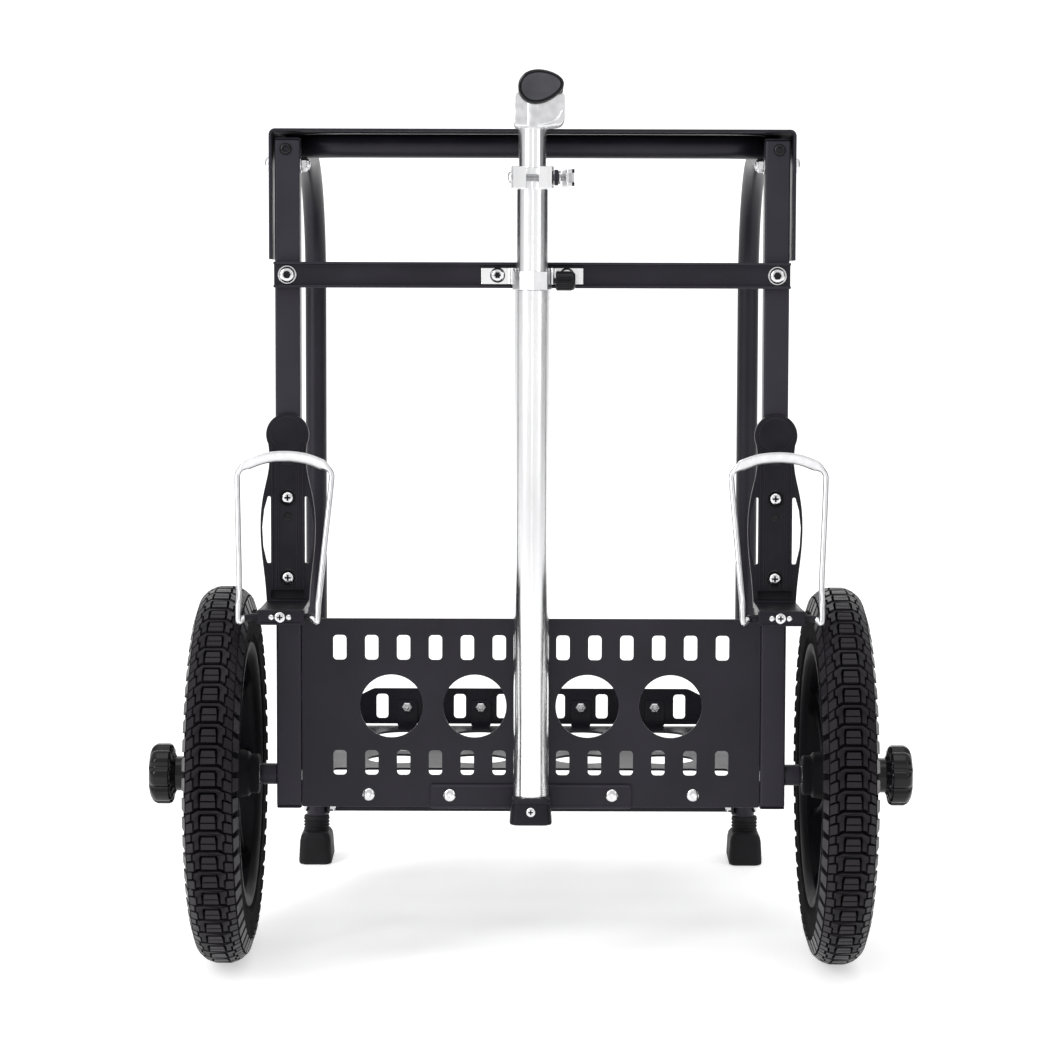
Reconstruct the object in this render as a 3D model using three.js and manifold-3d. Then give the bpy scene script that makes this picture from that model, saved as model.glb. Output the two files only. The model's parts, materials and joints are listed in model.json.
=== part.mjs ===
// Two-wheeled push cart for a disc-golf backpack: a bent tube frame with a seat on top, a shelf
// at the bottom, a telescopic handle in front of the rear posts and two folding bottle cages.
// Millimetres, +Z up. The handle side is -Y, the legs and the shelf's front lip are on the +Y side.
// The cart is drawn square to its own posts, with the ground under the wheels at z = 0, and is
// then leaned about the axle until its feet meet the ground.

import * as THREE from "three";
import { mergeVertices } from "three/addons/utils/BufferGeometryUtils.js";
import Module from "manifold-3d";

const wasm = await Module();
wasm.setup();

// ---------- driving dimensions, mm ----------

const GAP = 0.3; // between pieces that touch
const LOOSE = 0.4; // extra radius of a hole that a shaft passes through
const SHEET = 2; // thickness of the folded sheet parts
const LEAN = THREE.MathUtils.degToRad(3.7); // forward lean of the standing cart

const WHEEL_RADIUS = 152.5;
const WHEEL_X = 246;
const TYRE_WIDTH = 44;
const BEAD_RADIUS = 103.4;
const HUB_RADIUS = 19;
const HUB_WIDTH = 53.4;
const SPOKE_PAIRS = 7;
const AXLE_RADIUS = 5;
const BUSH_RADIUS = 8;
const KNOB_RADIUS = 24;
const KNOB_END_X = 308.5;
const KNOB_HEAD_LENGTH = 20;
const KNOB_NECK = 14;
const AXLE_END = 299;
const SPACER_RADIUS = 8.5;

const POST_X = 195;
const POST_SIDE = 20;
const POST_WALL = 1.8;
const POST_BOTTOM = 128;
const POST_TOP = 662;
const CAP_FLANGE = 2;

const LEG_X = 196.5;
const LEG_Y = 330;
const LEG_BOTTOM = 40.5;
const LOOP_RADIUS = 9.5; // outside radius of the bent round tube
const LOOP_WALL = 1.6;
const LOOP_TOP = 658.7; // centre line under the seat
const LOOP_REAR_Y = 22; // centre line behind the post tops
const LOOP_FRONT_BEND = 115;
const LOOP_CORNER_BEND = 45;

const SEAT_TOP = 671;
const SEAT_SHEET = 2.5;
const SEAT_HALF_WIDTH = 209.5;
const SEAT_FRONT_Y = -13;
const SEAT_BACK_Y = 205;
const SEAT_FLANGE_BOTTOM = 567.5;
const SEAT_BEND = 5;
const SEAT_BOLT_Z = 643;

const BAR_BOTTOM = 545; // channel across the posts that holds the handle
const BAR_TOP = 565.5;
const BAR_DEPTH = 8;
const BAR_HALF_WIDTH = 205.5;
const BAR_Z = (BAR_BOTTOM + BAR_TOP) / 2;

const PLATE_HALF_WIDTH = 183.5;
const PLATE_BOTTOM = 127;
const PLATE_TOP = 280;
const PLATE_FRONT_Y = -8;
const PLATE_RETURN = 14;
const SLOT_PITCH = 25.67;
const SLOT_WIDTH = 10.7;
const SLOT_HEIGHT = 20;
const SLOT_ROWS_Z = [163, 256.5];
const HOLE_RADIUS = 25.5;
const HOLES_Z = 209;
const HOLES_X = [-112.4, -45.4, 45.4, 112.4];

const SHELF_TOP = 148;
const SHELF_HALF_WIDTH = 184.3;
const SHELF_FLANGE = 19;
const SHELF_BACK_Y = -5.5;
const SHELF_FRONT_Y = 308;
const SHELF_SLOT_Y = 42;
const SHELF_SLOT_LENGTH = 38;
const SHELF_HOLE_ROWS_Y = [112, 182, 252];
const TAB_WIDTH = 18;
const TAB_TOP = 171;
const LIP_BOTTOM = 149.5;
const LIP_TOP = 182;
const LIP_END_TOP = 163;
const LIP_HALF_WIDTH = 180;
const LIP_SLOPE_X = 135;

const CROSS_BOTTOM = 64; // lower cross-member between the legs
const CROSS_TOP = 86;
const CROSS_HALF_WIDTH = 186.4;
const CROSS_Y = 340;

const POLE_Y = -33.5;
const POLE_WALL = 1.3;
const LOWER_POLE = { radius: 14.3, bottom: 127.5, top: 543.3 };
const MIDDLE_POLE = { radius: 12.7, bottom: 140, top: 631 };
const UPPER_POLE = { radius: 11.1, bottom: 150, top: 689.5 };
const LOCK_COLLAR = { bottom: 543.6, top: 558, radius: 15.6 };
const CLAMP = { bottom: 622.5, top: 640, radius: 17 };
const STRAP_HALF_WIDTH = 40.7;
const STRAP_BOTTOM = 548;
const STRAP_TOP = 561;
const STRAP_SCREW_X = 27.5;

const CAGE_SCREWS_Z = [313.4, 377.6];
const CAGE_SCREW = { head: 4.6, height: 2.6, length: 12 };
const CAGE_PLATE = 5;
const CAGE_BOTTOM = 290;
const CAGE_SHELF_TOP = 295;
const CAGE_FOOT = 17; // half width at the bottom
const CAGE_WAIST = 22; // half width at the widest point
const CAGE_WAIST_Z = 354;
const CAGE_DISC = { z: 428, radius: 17.2, neckX: 14.6, neckZ: 412, open: 0.45 };
const HINGE_X = 18.5;
const HINGE_REACH = 7;
const HINGE_BOTTOM = 283;
const CAGE_HINGE_Y = -80;
const CAGE_HINGE_Z = 288.5;
const HOOP_WIRE = 2;
const HOOP_FOOT_X = 30.3;
const HOOP_SHOULDER = { x: 37.2, y: -44, z: 398 };
const HOOP_CROWN_Z = 413;

const HEAD = { left: -14.7, right: 25, bottom: 669.6, top: 697, slopeX: 20, backY: -13, frontY: -54 };
const GRIP = {
  x: 6.5, z: 702, halfWidth: 18, halfHeight: 13, taper: 0.22, tilt: 0.14, frontY: -58, backY: 62,
};

const WHEEL_ROUND = 36; // sides of a tyre or a rim
const ROUND = 18; // sides of a large round piece
const SMALL_ROUND = 8; // sides of a screw or a wire

// ---------- finishes ----------

const finish = (color, roughness, metalness) => () =>
  new THREE.MeshStandardMaterial({ color, roughness, metalness });

const powderCoat = finish(0x2a2930, 0.55, 0.3);
const aluminium = finish(0xd6d7d9, 0.3, 0.95);
const steel = finish(0xb9bbbd, 0.25, 1);
const plastic = finish(0x1b1b1e, 0.5, 0);
const glossPlastic = finish(0x0d0d0f, 0.25, 0);
const rubber = finish(0x18171a, 0.85, 0);
const tyreRubber = finish(0x232126, 0.8, 0);

// ---------- solids ----------

const cart = new THREE.Group();

function add(name, geometry, material) {
  const mesh = new THREE.Mesh(geometry, material());
  mesh.name = name;
  cart.add(mesh);
}

function toSolid(geometry) {
  const bare = geometry.clone();
  bare.deleteAttribute("normal");
  bare.deleteAttribute("uv");
  const merged = mergeVertices(bare, 1e-4);
  return new wasm.Manifold(
    new wasm.Mesh({
      numProp: 3,
      vertProperties: new Float32Array(merged.attributes.position.array),
      triVerts: new Uint32Array(merged.index.array),
    }),
  );
}

function toGeometry(solid) {
  const mesh = solid.getMesh();
  const geometry = new THREE.BufferGeometry();
  geometry.setAttribute("position", new THREE.BufferAttribute(mesh.vertProperties, 3));
  geometry.setIndex(new THREE.BufferAttribute(mesh.triVerts, 1));
  return geometry;
}

function join(...geometries) {
  return toGeometry(geometries.map(toSolid).reduce((whole, part) => whole.add(part)));
}

function cut(geometry, ...tools) {
  return toGeometry(tools.map(toSolid).reduce((left, tool) => left.subtract(tool), toSolid(geometry)));
}

// A box between two corners.
function block(x0, x1, y0, y1, z0, z1) {
  const geometry = new THREE.BoxGeometry(x1 - x0, y1 - y0, z1 - z0);
  return geometry.translate((x0 + x1) / 2, (y0 + y1) / 2, (z0 + z1) / 2);
}

// A shape drawn in plan (x, y), raised from z0 to z1.
function upright(shape, z0, z1, curveSegments = 6) {
  const geometry = new THREE.ExtrudeGeometry(shape, { depth: z1 - z0, bevelEnabled: false, curveSegments });
  return geometry.translate(0, 0, z0);
}

// A shape drawn in front view (x, z), reaching from y0 to y1.
function facing(shape, y0, y1, curveSegments = 6) {
  const geometry = new THREE.ExtrudeGeometry(shape, { depth: y1 - y0, bevelEnabled: false, curveSegments });
  return geometry.rotateX(Math.PI / 2).translate(0, y1, 0);
}

// A shape drawn in side view (y, z), reaching from x0 to x1.
function sideways(shape, x0, x1) {
  const geometry = new THREE.ExtrudeGeometry(shape, { depth: x1 - x0, bevelEnabled: false });
  return geometry.rotateX(Math.PI / 2).rotateZ(Math.PI / 2).translate(x0, 0, 0);
}

function outline(points) {
  return new THREE.Shape(points.map(([a, b]) => new THREE.Vector2(a, b)));
}

function circle(x, y, radius) {
  return new THREE.Path().absarc(x, y, radius, 0, 2 * Math.PI, true);
}

// A rectangle with its corners cut off, as a hole.
function slot(x, y, width, height) {
  const chamfer = width * 0.28;
  const w = width / 2;
  const h = height / 2;
  const corners = [
    [-w + chamfer, -h], [-w, -h + chamfer], [-w, h - chamfer], [-w + chamfer, h],
    [w - chamfer, h], [w, h - chamfer], [w, -h + chamfer], [w - chamfer, -h],
  ];
  return new THREE.Path(corners.map(([a, b]) => new THREE.Vector2(x + a, y + b)));
}

// Round pieces: the profile is a list of [radius, distance along the axis].
function turned(profile, sides = SMALL_ROUND) {
  const points = profile.map(([radius, along]) => new THREE.Vector2(radius, along));
  return new THREE.LatheGeometry(points, sides);
}

const alongX = (geometry) => geometry.rotateZ(-Math.PI / 2);
const alongZ = (geometry) => geometry.rotateX(Math.PI / 2);

function rod(radius, from, to, sides = SMALL_ROUND) {
  return turned([[0, from], [radius, from], [radius, to], [0, to]], sides);
}

function tube(radius, bore, from, to, sides = ROUND) {
  return turned([[bore, from], [radius, from], [radius, to], [bore, to], [bore, from]], sides);
}

// A path of straight pieces whose corners are the stations of a swept tube.
class StationPath extends THREE.Curve {
  constructor(points) {
    super();
    this.points = points;
  }

  getPoint(t) {
    const along = Math.min(Math.max(t, 0), 1) * (this.points.length - 1);
    const index = Math.min(Math.floor(along), this.points.length - 2);
    return this.points[index].clone().lerp(this.points[index + 1], along - index);
  }

  getPointAt(u) {
    return this.getPoint(u);
  }

  getTangentAt(u) {
    return this.getTangent(u);
  }
}

// Points of a route through the given corners, each rounded by its own bend radius.
function bentRoute(corners, stepsPerBend) {
  const route = [corners[0].at];
  for (let i = 1; i < corners.length - 1; i += 1) {
    const here = corners[i].at;
    const back = corners[i - 1].at.clone().sub(here).normalize();
    const ahead = corners[i + 1].at.clone().sub(here).normalize();
    const half = back.angleTo(ahead) / 2;
    const reach = corners[i].bend / Math.tan(half);
    const inward = back.clone().add(ahead).normalize();
    const centre = here.clone().addScaledVector(inward, corners[i].bend / Math.sin(half));
    const start = here.clone().addScaledVector(back, reach).sub(centre);
    const end = here.clone().addScaledVector(ahead, reach).sub(centre);
    const sweep = start.angleTo(end);
    for (let k = 0; k <= stepsPerBend; k += 1) {
      const turn = (sweep * k) / stepsPerBend;
      const point = start.clone().multiplyScalar(Math.sin(sweep - turn) / Math.sin(sweep));
      point.addScaledVector(end, Math.sin(turn) / Math.sin(sweep));
      route.push(point.add(centre));
    }
  }
  route.push(corners[corners.length - 1].at);
  return route;
}

function sweep(points, radius, bore, sides) {
  const section = new THREE.Shape().absarc(0, 0, radius, 0, 2 * Math.PI, false);
  if (bore > 0) section.holes.push(circle(0, 0, bore));
  return new THREE.ExtrudeGeometry(section, {
    steps: points.length - 1,
    extrudePath: new StationPath(points),
    curveSegments: sides,
  });
}

const at = (x, y, z) => new THREE.Vector3(x, y, z);

// Left is -X and right is +X, as seen by someone standing on the handle side.
const SIDES = [
  { name: "left", sign: -1 },
  { name: "right", sign: 1 },
];

// Turns a piece made for the right side round to the left side.
function onSide(geometry, sign) {
  return sign < 0 ? geometry.rotateZ(Math.PI) : geometry;
}

// A button-head screw along Y, its head towards -Y with its underside at y = seat.
function screwFacing(x, seat, z, headRadius, headHeight, shankRadius, length) {
  const profile = [
    [0, -length], [shankRadius, -length], [shankRadius, 0], [headRadius, 0],
    [headRadius * 0.8, headHeight * 0.7], [headRadius * 0.4, headHeight], [0, headHeight],
  ];
  return turned(profile).rotateX(Math.PI).translate(x, seat, z);
}

function holeFacing(x, z, radius, y0, y1) {
  return rod(radius, y0, y1).translate(x, 0, z);
}

// ---------- posts ----------

const POST_HALF = POST_SIDE / 2;
const BORE_HALF = POST_HALF - POST_WALL;
const PLUG_DEPTH = 12;
const SCREW_SHANK = 2.5;
const SCREW_HOLE = 3;
const BOLT_SHANK = 3;
const BOLT_HOLE = 3.5;
const BOLT_HEAD_RADIUS = 6.5;
const BOLT_HEAD_HEIGHT = 3.6;
const NUT_RADIUS = 5;
const NUT_HEIGHT = 5;

function square(half) {
  return outline([[-half, -half], [half, -half], [half, half], [-half, half]]);
}

function buildPosts({ name, sign }) {
  const x = sign * POST_X;
  const section = square(BORE_HALF);
  const walls = square(POST_HALF);
  walls.holes.push(section);
  const post = upright(walls, POST_BOTTOM, POST_TOP).translate(x, 0, 0);
  const bores = [
    alongX(rod(AXLE_RADIUS + LOOSE, x - POST_SIDE, x + POST_SIDE, ROUND)).translate(0, 0, WHEEL_RADIUS),
    alongX(rod(BOLT_HOLE, x - POST_SIDE, x + POST_SIDE)).translate(0, 0, SEAT_BOLT_Z),
    holeFacing(x, BAR_Z, BOLT_HOLE, -POST_SIDE, 0),
    ...CAGE_SCREWS_Z.map((z) => holeFacing(x, z, SCREW_HOLE, -POST_SIDE, 0)),
  ];
  add(`post_${name}`, cut(post, ...bores), powderCoat);

  const plug = BORE_HALF - GAP;
  const capTop = join(
    block(-POST_HALF, POST_HALF, -POST_HALF, POST_HALF, POST_TOP + GAP, POST_TOP + CAP_FLANGE),
    block(-plug, plug, -plug, plug, POST_TOP - PLUG_DEPTH, POST_TOP + 1),
  );
  add(`post_cap_top_${name}`, capTop.translate(x, 0, 0), plastic);
  const capBottom = join(
    block(-POST_HALF, POST_HALF, -POST_HALF, POST_HALF, POST_BOTTOM - CAP_FLANGE, POST_BOTTOM - GAP),
    block(-plug, plug, -plug, plug, POST_BOTTOM - 1, POST_BOTTOM + PLUG_DEPTH),
  );
  add(`post_cap_bottom_${name}`, capBottom.translate(x, 0, 0), plastic);
}

SIDES.forEach(buildPosts);

// ---------- bent tube loop: legs, side runs and rear cross tube in one tube ----------

const LOOP_CORNERS = [
  { at: at(-LEG_X, LEG_Y, LEG_BOTTOM) },
  { at: at(-LEG_X, LEG_Y, LOOP_TOP), bend: LOOP_FRONT_BEND },
  { at: at(-LEG_X, LOOP_REAR_Y, LOOP_TOP), bend: LOOP_CORNER_BEND },
  { at: at(LEG_X, LOOP_REAR_Y, LOOP_TOP), bend: LOOP_CORNER_BEND },
  { at: at(LEG_X, LEG_Y, LOOP_TOP), bend: LOOP_FRONT_BEND },
  { at: at(LEG_X, LEG_Y, LEG_BOTTOM) },
];
add("frame_loop", sweep(bentRoute(LOOP_CORNERS, 5), LOOP_RADIUS, LOOP_RADIUS - LOOP_WALL, 5), powderCoat);

// ---------- seat ----------

function channelDown(halfWidth, top, bottom, thickness, bend) {
  const shape = new THREE.Shape();
  shape.moveTo(-halfWidth, bottom);
  shape.lineTo(-halfWidth, top - bend);
  shape.absarc(-halfWidth + bend, top - bend, bend, Math.PI, Math.PI / 2, true);
  shape.absarc(halfWidth - bend, top - bend, bend, Math.PI / 2, 0, true);
  shape.lineTo(halfWidth, bottom);
  shape.lineTo(halfWidth - thickness, bottom);
  shape.absarc(halfWidth - bend, top - bend, bend - thickness, 0, Math.PI / 2, false);
  shape.absarc(-halfWidth + bend, top - bend, bend - thickness, Math.PI / 2, Math.PI, false);
  shape.lineTo(-halfWidth + thickness, bottom);
  return shape;
}

const seatSheet = facing(
  channelDown(SEAT_HALF_WIDTH, SEAT_TOP, SEAT_FLANGE_BOTTOM, SEAT_SHEET, SEAT_BEND),
  SEAT_FRONT_Y,
  SEAT_BACK_Y,
  3,
);
const seatBoltHole = alongX(rod(BOLT_HOLE, -SEAT_HALF_WIDTH - 1, SEAT_HALF_WIDTH + 1));
add("seat", cut(seatSheet, seatBoltHole.translate(0, 0, SEAT_BOLT_Z)), powderCoat);

// The seat bolts run through the flange and the post, with their nuts on the inside.
SIDES.forEach(({ name, sign }) => {
  const head = SEAT_HALF_WIDTH + GAP;
  const nut = POST_X - POST_HALF - GAP;
  const nutEnd = nut - NUT_HEIGHT;
  const boltEnd = nutEnd - BOLT_SHANK;
  const profile = [
    [0, boltEnd], [BOLT_SHANK, boltEnd], [BOLT_SHANK, nutEnd], [NUT_RADIUS, nutEnd], [NUT_RADIUS, nut],
    [BOLT_SHANK, nut], [BOLT_SHANK, head], [BOLT_HEAD_RADIUS, head],
    [NUT_RADIUS, head + BOLT_HEAD_HEIGHT * 0.8], [0, head + BOLT_HEAD_HEIGHT],
  ];
  const bolt = alongX(turned(profile)).translate(0, 0, SEAT_BOLT_Z);
  add(`seat_bolt_${name}`, onSide(bolt, sign), steel);
});

// ---------- crossbar, handle strap and lock collar ----------

const BAR_BACK_Y = -POST_HALF - GAP;
const BAR_WEB_Y = BAR_BACK_Y - SHEET;
const BAR_FRONT_Y = BAR_BACK_Y - BAR_DEPTH;
const BAR_BOLT_LENGTH = 10;
const barSection = outline([
  [BAR_BACK_Y, BAR_BOTTOM], [BAR_BACK_Y, BAR_TOP], [BAR_FRONT_Y, BAR_TOP], [BAR_FRONT_Y, BAR_TOP - SHEET],
  [BAR_WEB_Y, BAR_TOP - SHEET], [BAR_WEB_Y, BAR_BOTTOM + SHEET], [BAR_FRONT_Y, BAR_BOTTOM + SHEET],
  [BAR_FRONT_Y, BAR_BOTTOM],
]);
const barHoles = [
  ...SIDES.map(({ sign }) => holeFacing(sign * POST_X, BAR_Z, BOLT_HOLE, -POST_SIDE, 0)),
  ...SIDES.map(({ sign }) => holeFacing(sign * STRAP_SCREW_X, BAR_Z, SCREW_HOLE, -POST_SIDE, 0)),
];
add("crossbar", cut(sideways(barSection, -BAR_HALF_WIDTH, BAR_HALF_WIDTH), ...barHoles), powderCoat);
SIDES.forEach(({ name, sign }) => {
  const bolt = screwFacing(
    sign * POST_X, BAR_WEB_Y - GAP, BAR_Z, BOLT_HEAD_RADIUS, BOLT_HEAD_HEIGHT, BOLT_SHANK, BAR_BOLT_LENGTH,
  );
  add(`crossbar_bolt_${name}`, bolt, steel);
});

const STRAP_SHEET = 2.2;
const STRAP_SCREW = { head: 4.5, height: 2.2, length: 6 };
const EAR_BACK_Y = BAR_WEB_Y - GAP;
const EAR_FRONT_Y = EAR_BACK_Y - STRAP_SHEET;
const ARM_INSIDE = LOCK_COLLAR.radius + 0.4;
const ARM_OUTSIDE = ARM_INSIDE + STRAP_SHEET;
const ARM_END_Y = POLE_Y - 3;
const strapShape = outline([
  [STRAP_HALF_WIDTH, EAR_BACK_Y], [-STRAP_HALF_WIDTH, EAR_BACK_Y], [-STRAP_HALF_WIDTH, EAR_FRONT_Y],
  [-ARM_OUTSIDE, EAR_FRONT_Y], [-ARM_OUTSIDE, ARM_END_Y], [-ARM_INSIDE, ARM_END_Y],
  [-ARM_INSIDE, EAR_FRONT_Y - 1], [ARM_INSIDE, EAR_FRONT_Y - 1], [ARM_INSIDE, ARM_END_Y],
  [ARM_OUTSIDE, ARM_END_Y], [ARM_OUTSIDE, EAR_FRONT_Y], [STRAP_HALF_WIDTH, EAR_FRONT_Y],
]);
const LOCK_Z = (LOCK_COLLAR.bottom + LOCK_COLLAR.top) / 2;
const LOCK_SCREW = 2.2;
const lockScrewRod = alongX(rod(LOCK_SCREW + LOOSE, MIDDLE_POLE.radius - 2, ARM_OUTSIDE + 2));
const lockScrewHole = lockScrewRod.translate(0, POLE_Y, LOCK_Z);
add(
  "strap_bracket",
  cut(
    upright(strapShape, STRAP_BOTTOM, STRAP_TOP),
    lockScrewHole,
    ...SIDES.map(({ sign }) => holeFacing(sign * STRAP_SCREW_X, BAR_Z, SCREW_HOLE, -POST_SIDE, 0)),
  ),
  aluminium,
);
SIDES.forEach(({ name, sign }) => {
  const { head, height, length } = STRAP_SCREW;
  const seat = EAR_FRONT_Y - GAP;
  const screw = screwFacing(sign * STRAP_SCREW_X, seat, BAR_Z, head, height, SCREW_SHANK, length);
  add(`strap_screw_${name}`, screw, steel);
});

const onPole = (geometry) => alongZ(geometry).translate(0, POLE_Y, 0);
const COLLAR_BORE = MIDDLE_POLE.radius + GAP;
const COLLAR_SIDES = 8;
const lockCollar = alongZ(tube(LOCK_COLLAR.radius, COLLAR_BORE, LOCK_COLLAR.bottom, LOCK_COLLAR.top));
const collarFlats = new THREE.CylinderGeometry(
  LOCK_COLLAR.radius, LOCK_COLLAR.radius, LOCK_COLLAR.top - LOCK_COLLAR.bottom,
  COLLAR_SIDES, 1, false, Math.PI / COLLAR_SIDES,
);
alongZ(collarFlats).translate(0, 0, LOCK_Z);
const facetedCollar = toGeometry(toSolid(lockCollar).intersect(toSolid(collarFlats))).translate(0, POLE_Y, 0);
add("lock_collar", cut(facetedCollar, lockScrewHole), aluminium);

const LOCK_KNOB = { radius: 7.7, end: 34, chamfer: 1.2 };
const lockTip = MIDDLE_POLE.radius + LOOSE;
const lockKnobStart = ARM_OUTSIDE + GAP;
const lockKnobNeck = LOCK_KNOB.radius - LOCK_KNOB.chamfer;
const lockKnobProfile = [
  [0, lockTip], [LOCK_SCREW, lockTip], [LOCK_SCREW, lockKnobStart], [lockKnobNeck, lockKnobStart],
  [LOCK_KNOB.radius, lockKnobStart + LOCK_KNOB.chamfer],
  [LOCK_KNOB.radius, LOCK_KNOB.end - LOCK_KNOB.chamfer],
  [lockKnobNeck, LOCK_KNOB.end], [0, LOCK_KNOB.end],
];
add("lock_knob", alongX(turned(lockKnobProfile, ROUND)).translate(0, POLE_Y, LOCK_Z), glossPlastic);

// ---------- telescopic handle ----------

function poleTube({ radius, bottom, top }) {
  return onPole(tube(radius, radius - POLE_WALL, bottom, top, ROUND));
}

add("pole_lower", poleTube(LOWER_POLE), aluminium);
add("pole_middle", poleTube(MIDDLE_POLE), aluminium);
add("pole_upper", poleTube(UPPER_POLE), aluminium);

// The clamp is a ring with a step inside: it sits on the middle tube and grips the upper one.
const CLAMP_SPLIT = 10;
const CLAMP_Z = (CLAMP.bottom + CLAMP.top) / 2;
const CLAMP_BOLT_Y = POLE_Y - 16;
const EAR_X = 16.6;
const EAR_REACH = 4.4;
const CLAMP_BOLT = { radius: 2.5, hole: 2.9, head: 4.6, headHeight: 2.1 };
const clampRing = join(
  onPole(tube(CLAMP.radius - 1, UPPER_POLE.radius + GAP, CLAMP.bottom, CLAMP.top)),
  cut(
    block(-EAR_X, EAR_X, CLAMP_BOLT_Y - EAR_REACH, POLE_Y - 10, CLAMP.bottom, CLAMP.top),
    onPole(rod(CLAMP.radius - 2, CLAMP.bottom - 1, CLAMP.top + 1, ROUND)),
  ),
);
const clampCuts = [
  onPole(rod(MIDDLE_POLE.radius + GAP, CLAMP.bottom - 1, MIDDLE_POLE.top + GAP, ROUND)),
  block(-CLAMP_SPLIT / 2, CLAMP_SPLIT / 2, POLE_Y - 30, POLE_Y - 5, CLAMP.bottom - 1, CLAMP.top + 1),
  alongX(rod(CLAMP_BOLT.hole, -EAR_X - 1, EAR_X + 1)).translate(0, CLAMP_BOLT_Y, CLAMP_Z),
];
add("clamp_collar", cut(clampRing, ...clampCuts), aluminium);

const FORK_PIN_X = 27;
const clampHeadSeat = -EAR_X - GAP;
const clampHeadTop = clampHeadSeat - CLAMP_BOLT.headHeight;
const clampBoltEnd = FORK_PIN_X + CLAMP_BOLT.radius;
const clampBolt = [
  [0, clampHeadTop], [CLAMP_BOLT.head * 0.87, clampHeadTop], [CLAMP_BOLT.head, clampHeadSeat],
  [CLAMP_BOLT.radius, clampHeadSeat], [CLAMP_BOLT.radius, clampBoltEnd], [0, clampBoltEnd],
];
add("clamp_bolt", alongX(turned(clampBolt)).translate(0, CLAMP_BOLT_Y, CLAMP_Z), steel);
const WASHER_RADIUS = 6.6;
const WASHER_END = EAR_X + 4;
const WASHER_BORE = CLAMP_BOLT.radius + GAP;
const clampWasher = alongX(tube(WASHER_RADIUS, WASHER_BORE, EAR_X + GAP, WASHER_END, SMALL_ROUND));
add("clamp_washer", clampWasher.translate(0, CLAMP_BOLT_Y, CLAMP_Z), plastic);

// Cam lever: a forked hub on an upright pin, with its arm lying back along the clamp.
const LEVER_HALF = 6.5;
const LEVER_SLOT_HALF = 3.4;
const LEVER_OUTSIDE = 32.6;
const LEVER_INSIDE = 24;
const LEVER_LENGTH = 34; // short enough to pass in front of the seat when the handle is raised
const leverShape = new THREE.Shape();
leverShape.moveTo(LEVER_INSIDE, CLAMP_BOLT_Y - 5);
leverShape.lineTo(LEVER_OUTSIDE, CLAMP_BOLT_Y - 5);
leverShape.lineTo(LEVER_OUTSIDE, CLAMP_BOLT_Y + 6);
leverShape.quadraticCurveTo(30.5, CLAMP_BOLT_Y + 18, 26.5, CLAMP_BOLT_Y + LEVER_LENGTH);
leverShape.lineTo(23, CLAMP_BOLT_Y + LEVER_LENGTH - 1.5);
leverShape.quadraticCurveTo(26.5, CLAMP_BOLT_Y + 18, LEVER_INSIDE, CLAMP_BOLT_Y + 9);
const leverSlot = block(
  LEVER_INSIDE - 4, LEVER_OUTSIDE + 1, CLAMP_BOLT_Y - 7, CLAMP_BOLT_Y + 7,
  CLAMP_Z - LEVER_SLOT_HALF, CLAMP_Z + LEVER_SLOT_HALF,
);
const lever = cut(upright(leverShape, CLAMP_Z - LEVER_HALF, CLAMP_Z + LEVER_HALF, 4), leverSlot);
add("clamp_lever", lever, steel);

// ---------- head casting and grip ----------

// Egg-shaped section of the grip, wide on the left and narrow on the right.
function eggShape(grow) {
  const shape = new THREE.Shape();
  const steps = 14;
  for (let k = 0; k < steps; k += 1) {
    const angle = (2 * Math.PI * k) / steps;
    const along = (GRIP.halfWidth + grow) * Math.cos(angle);
    const across = (GRIP.halfHeight + grow) * Math.sin(angle) * (1 - GRIP.taper * Math.cos(angle));
    const x = GRIP.x + along * Math.cos(GRIP.tilt) - across * Math.sin(GRIP.tilt);
    const z = GRIP.z + along * Math.sin(GRIP.tilt) + across * Math.cos(GRIP.tilt);
    if (k === 0) shape.moveTo(x, z);
    else shape.lineTo(x, z);
  }
  return shape;
}

const headShape = outline([
  [HEAD.left, HEAD.bottom], [HEAD.slopeX, HEAD.bottom], [HEAD.right, HEAD.bottom + 6], [HEAD.right, HEAD.top],
  [HEAD.left, HEAD.top],
]);
const headSocket = onPole(rod(UPPER_POLE.radius + GAP, HEAD.bottom - 2, UPPER_POLE.top + GAP, ROUND));
const gripSocket = facing(eggShape(GAP), GRIP.frontY - 2, GRIP.backY + 2);
add("head_casting", cut(facing(headShape, HEAD.frontY, HEAD.backY), gripSocket, headSocket), aluminium);
const CAP_DEPTH = 5;
add("grip", cut(facing(eggShape(0), GRIP.frontY + CAP_DEPTH + GAP, GRIP.backY), headSocket), rubber);
add("grip_cap", facing(eggShape(0), GRIP.frontY, GRIP.frontY + CAP_DEPTH), glossPlastic);

// ---------- wheels ----------

const TYRE_SQUARENESS = 0.7; // below 1 the section is fuller than an ellipse
const RIM_WELL = 15; // half width of the rim between its flanges
const RIM_FLANGE = 19.5;
const RIM_DEPTH = 8;
const SPOKE = { halfWidth: 3, halfDepth: 7, bow: 0.3, spread: 0.11 };

function tyreProfile() {
  const half = TYRE_WIDTH / 2;
  const middle = (WHEEL_RADIUS + BEAD_RADIUS) / 2;
  const height = (WHEEL_RADIUS - BEAD_RADIUS) / 2;
  const steps = 6;
  const profile = [];
  for (let k = 0; k <= steps; k += 1) {
    const angle = (Math.PI * k) / steps;
    const across = -half * Math.cos(angle);
    profile.push([middle + height * Math.sin(angle) ** TYRE_SQUARENESS, across]);
  }
  const bead = half - 4.5;
  profile.push([BEAD_RADIUS + 6, bead], [BEAD_RADIUS, RIM_WELL]);
  profile.push([BEAD_RADIUS, -RIM_WELL], [BEAD_RADIUS + 6, -bead]);
  profile.push(profile[0]);
  return profile;
}

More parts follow.
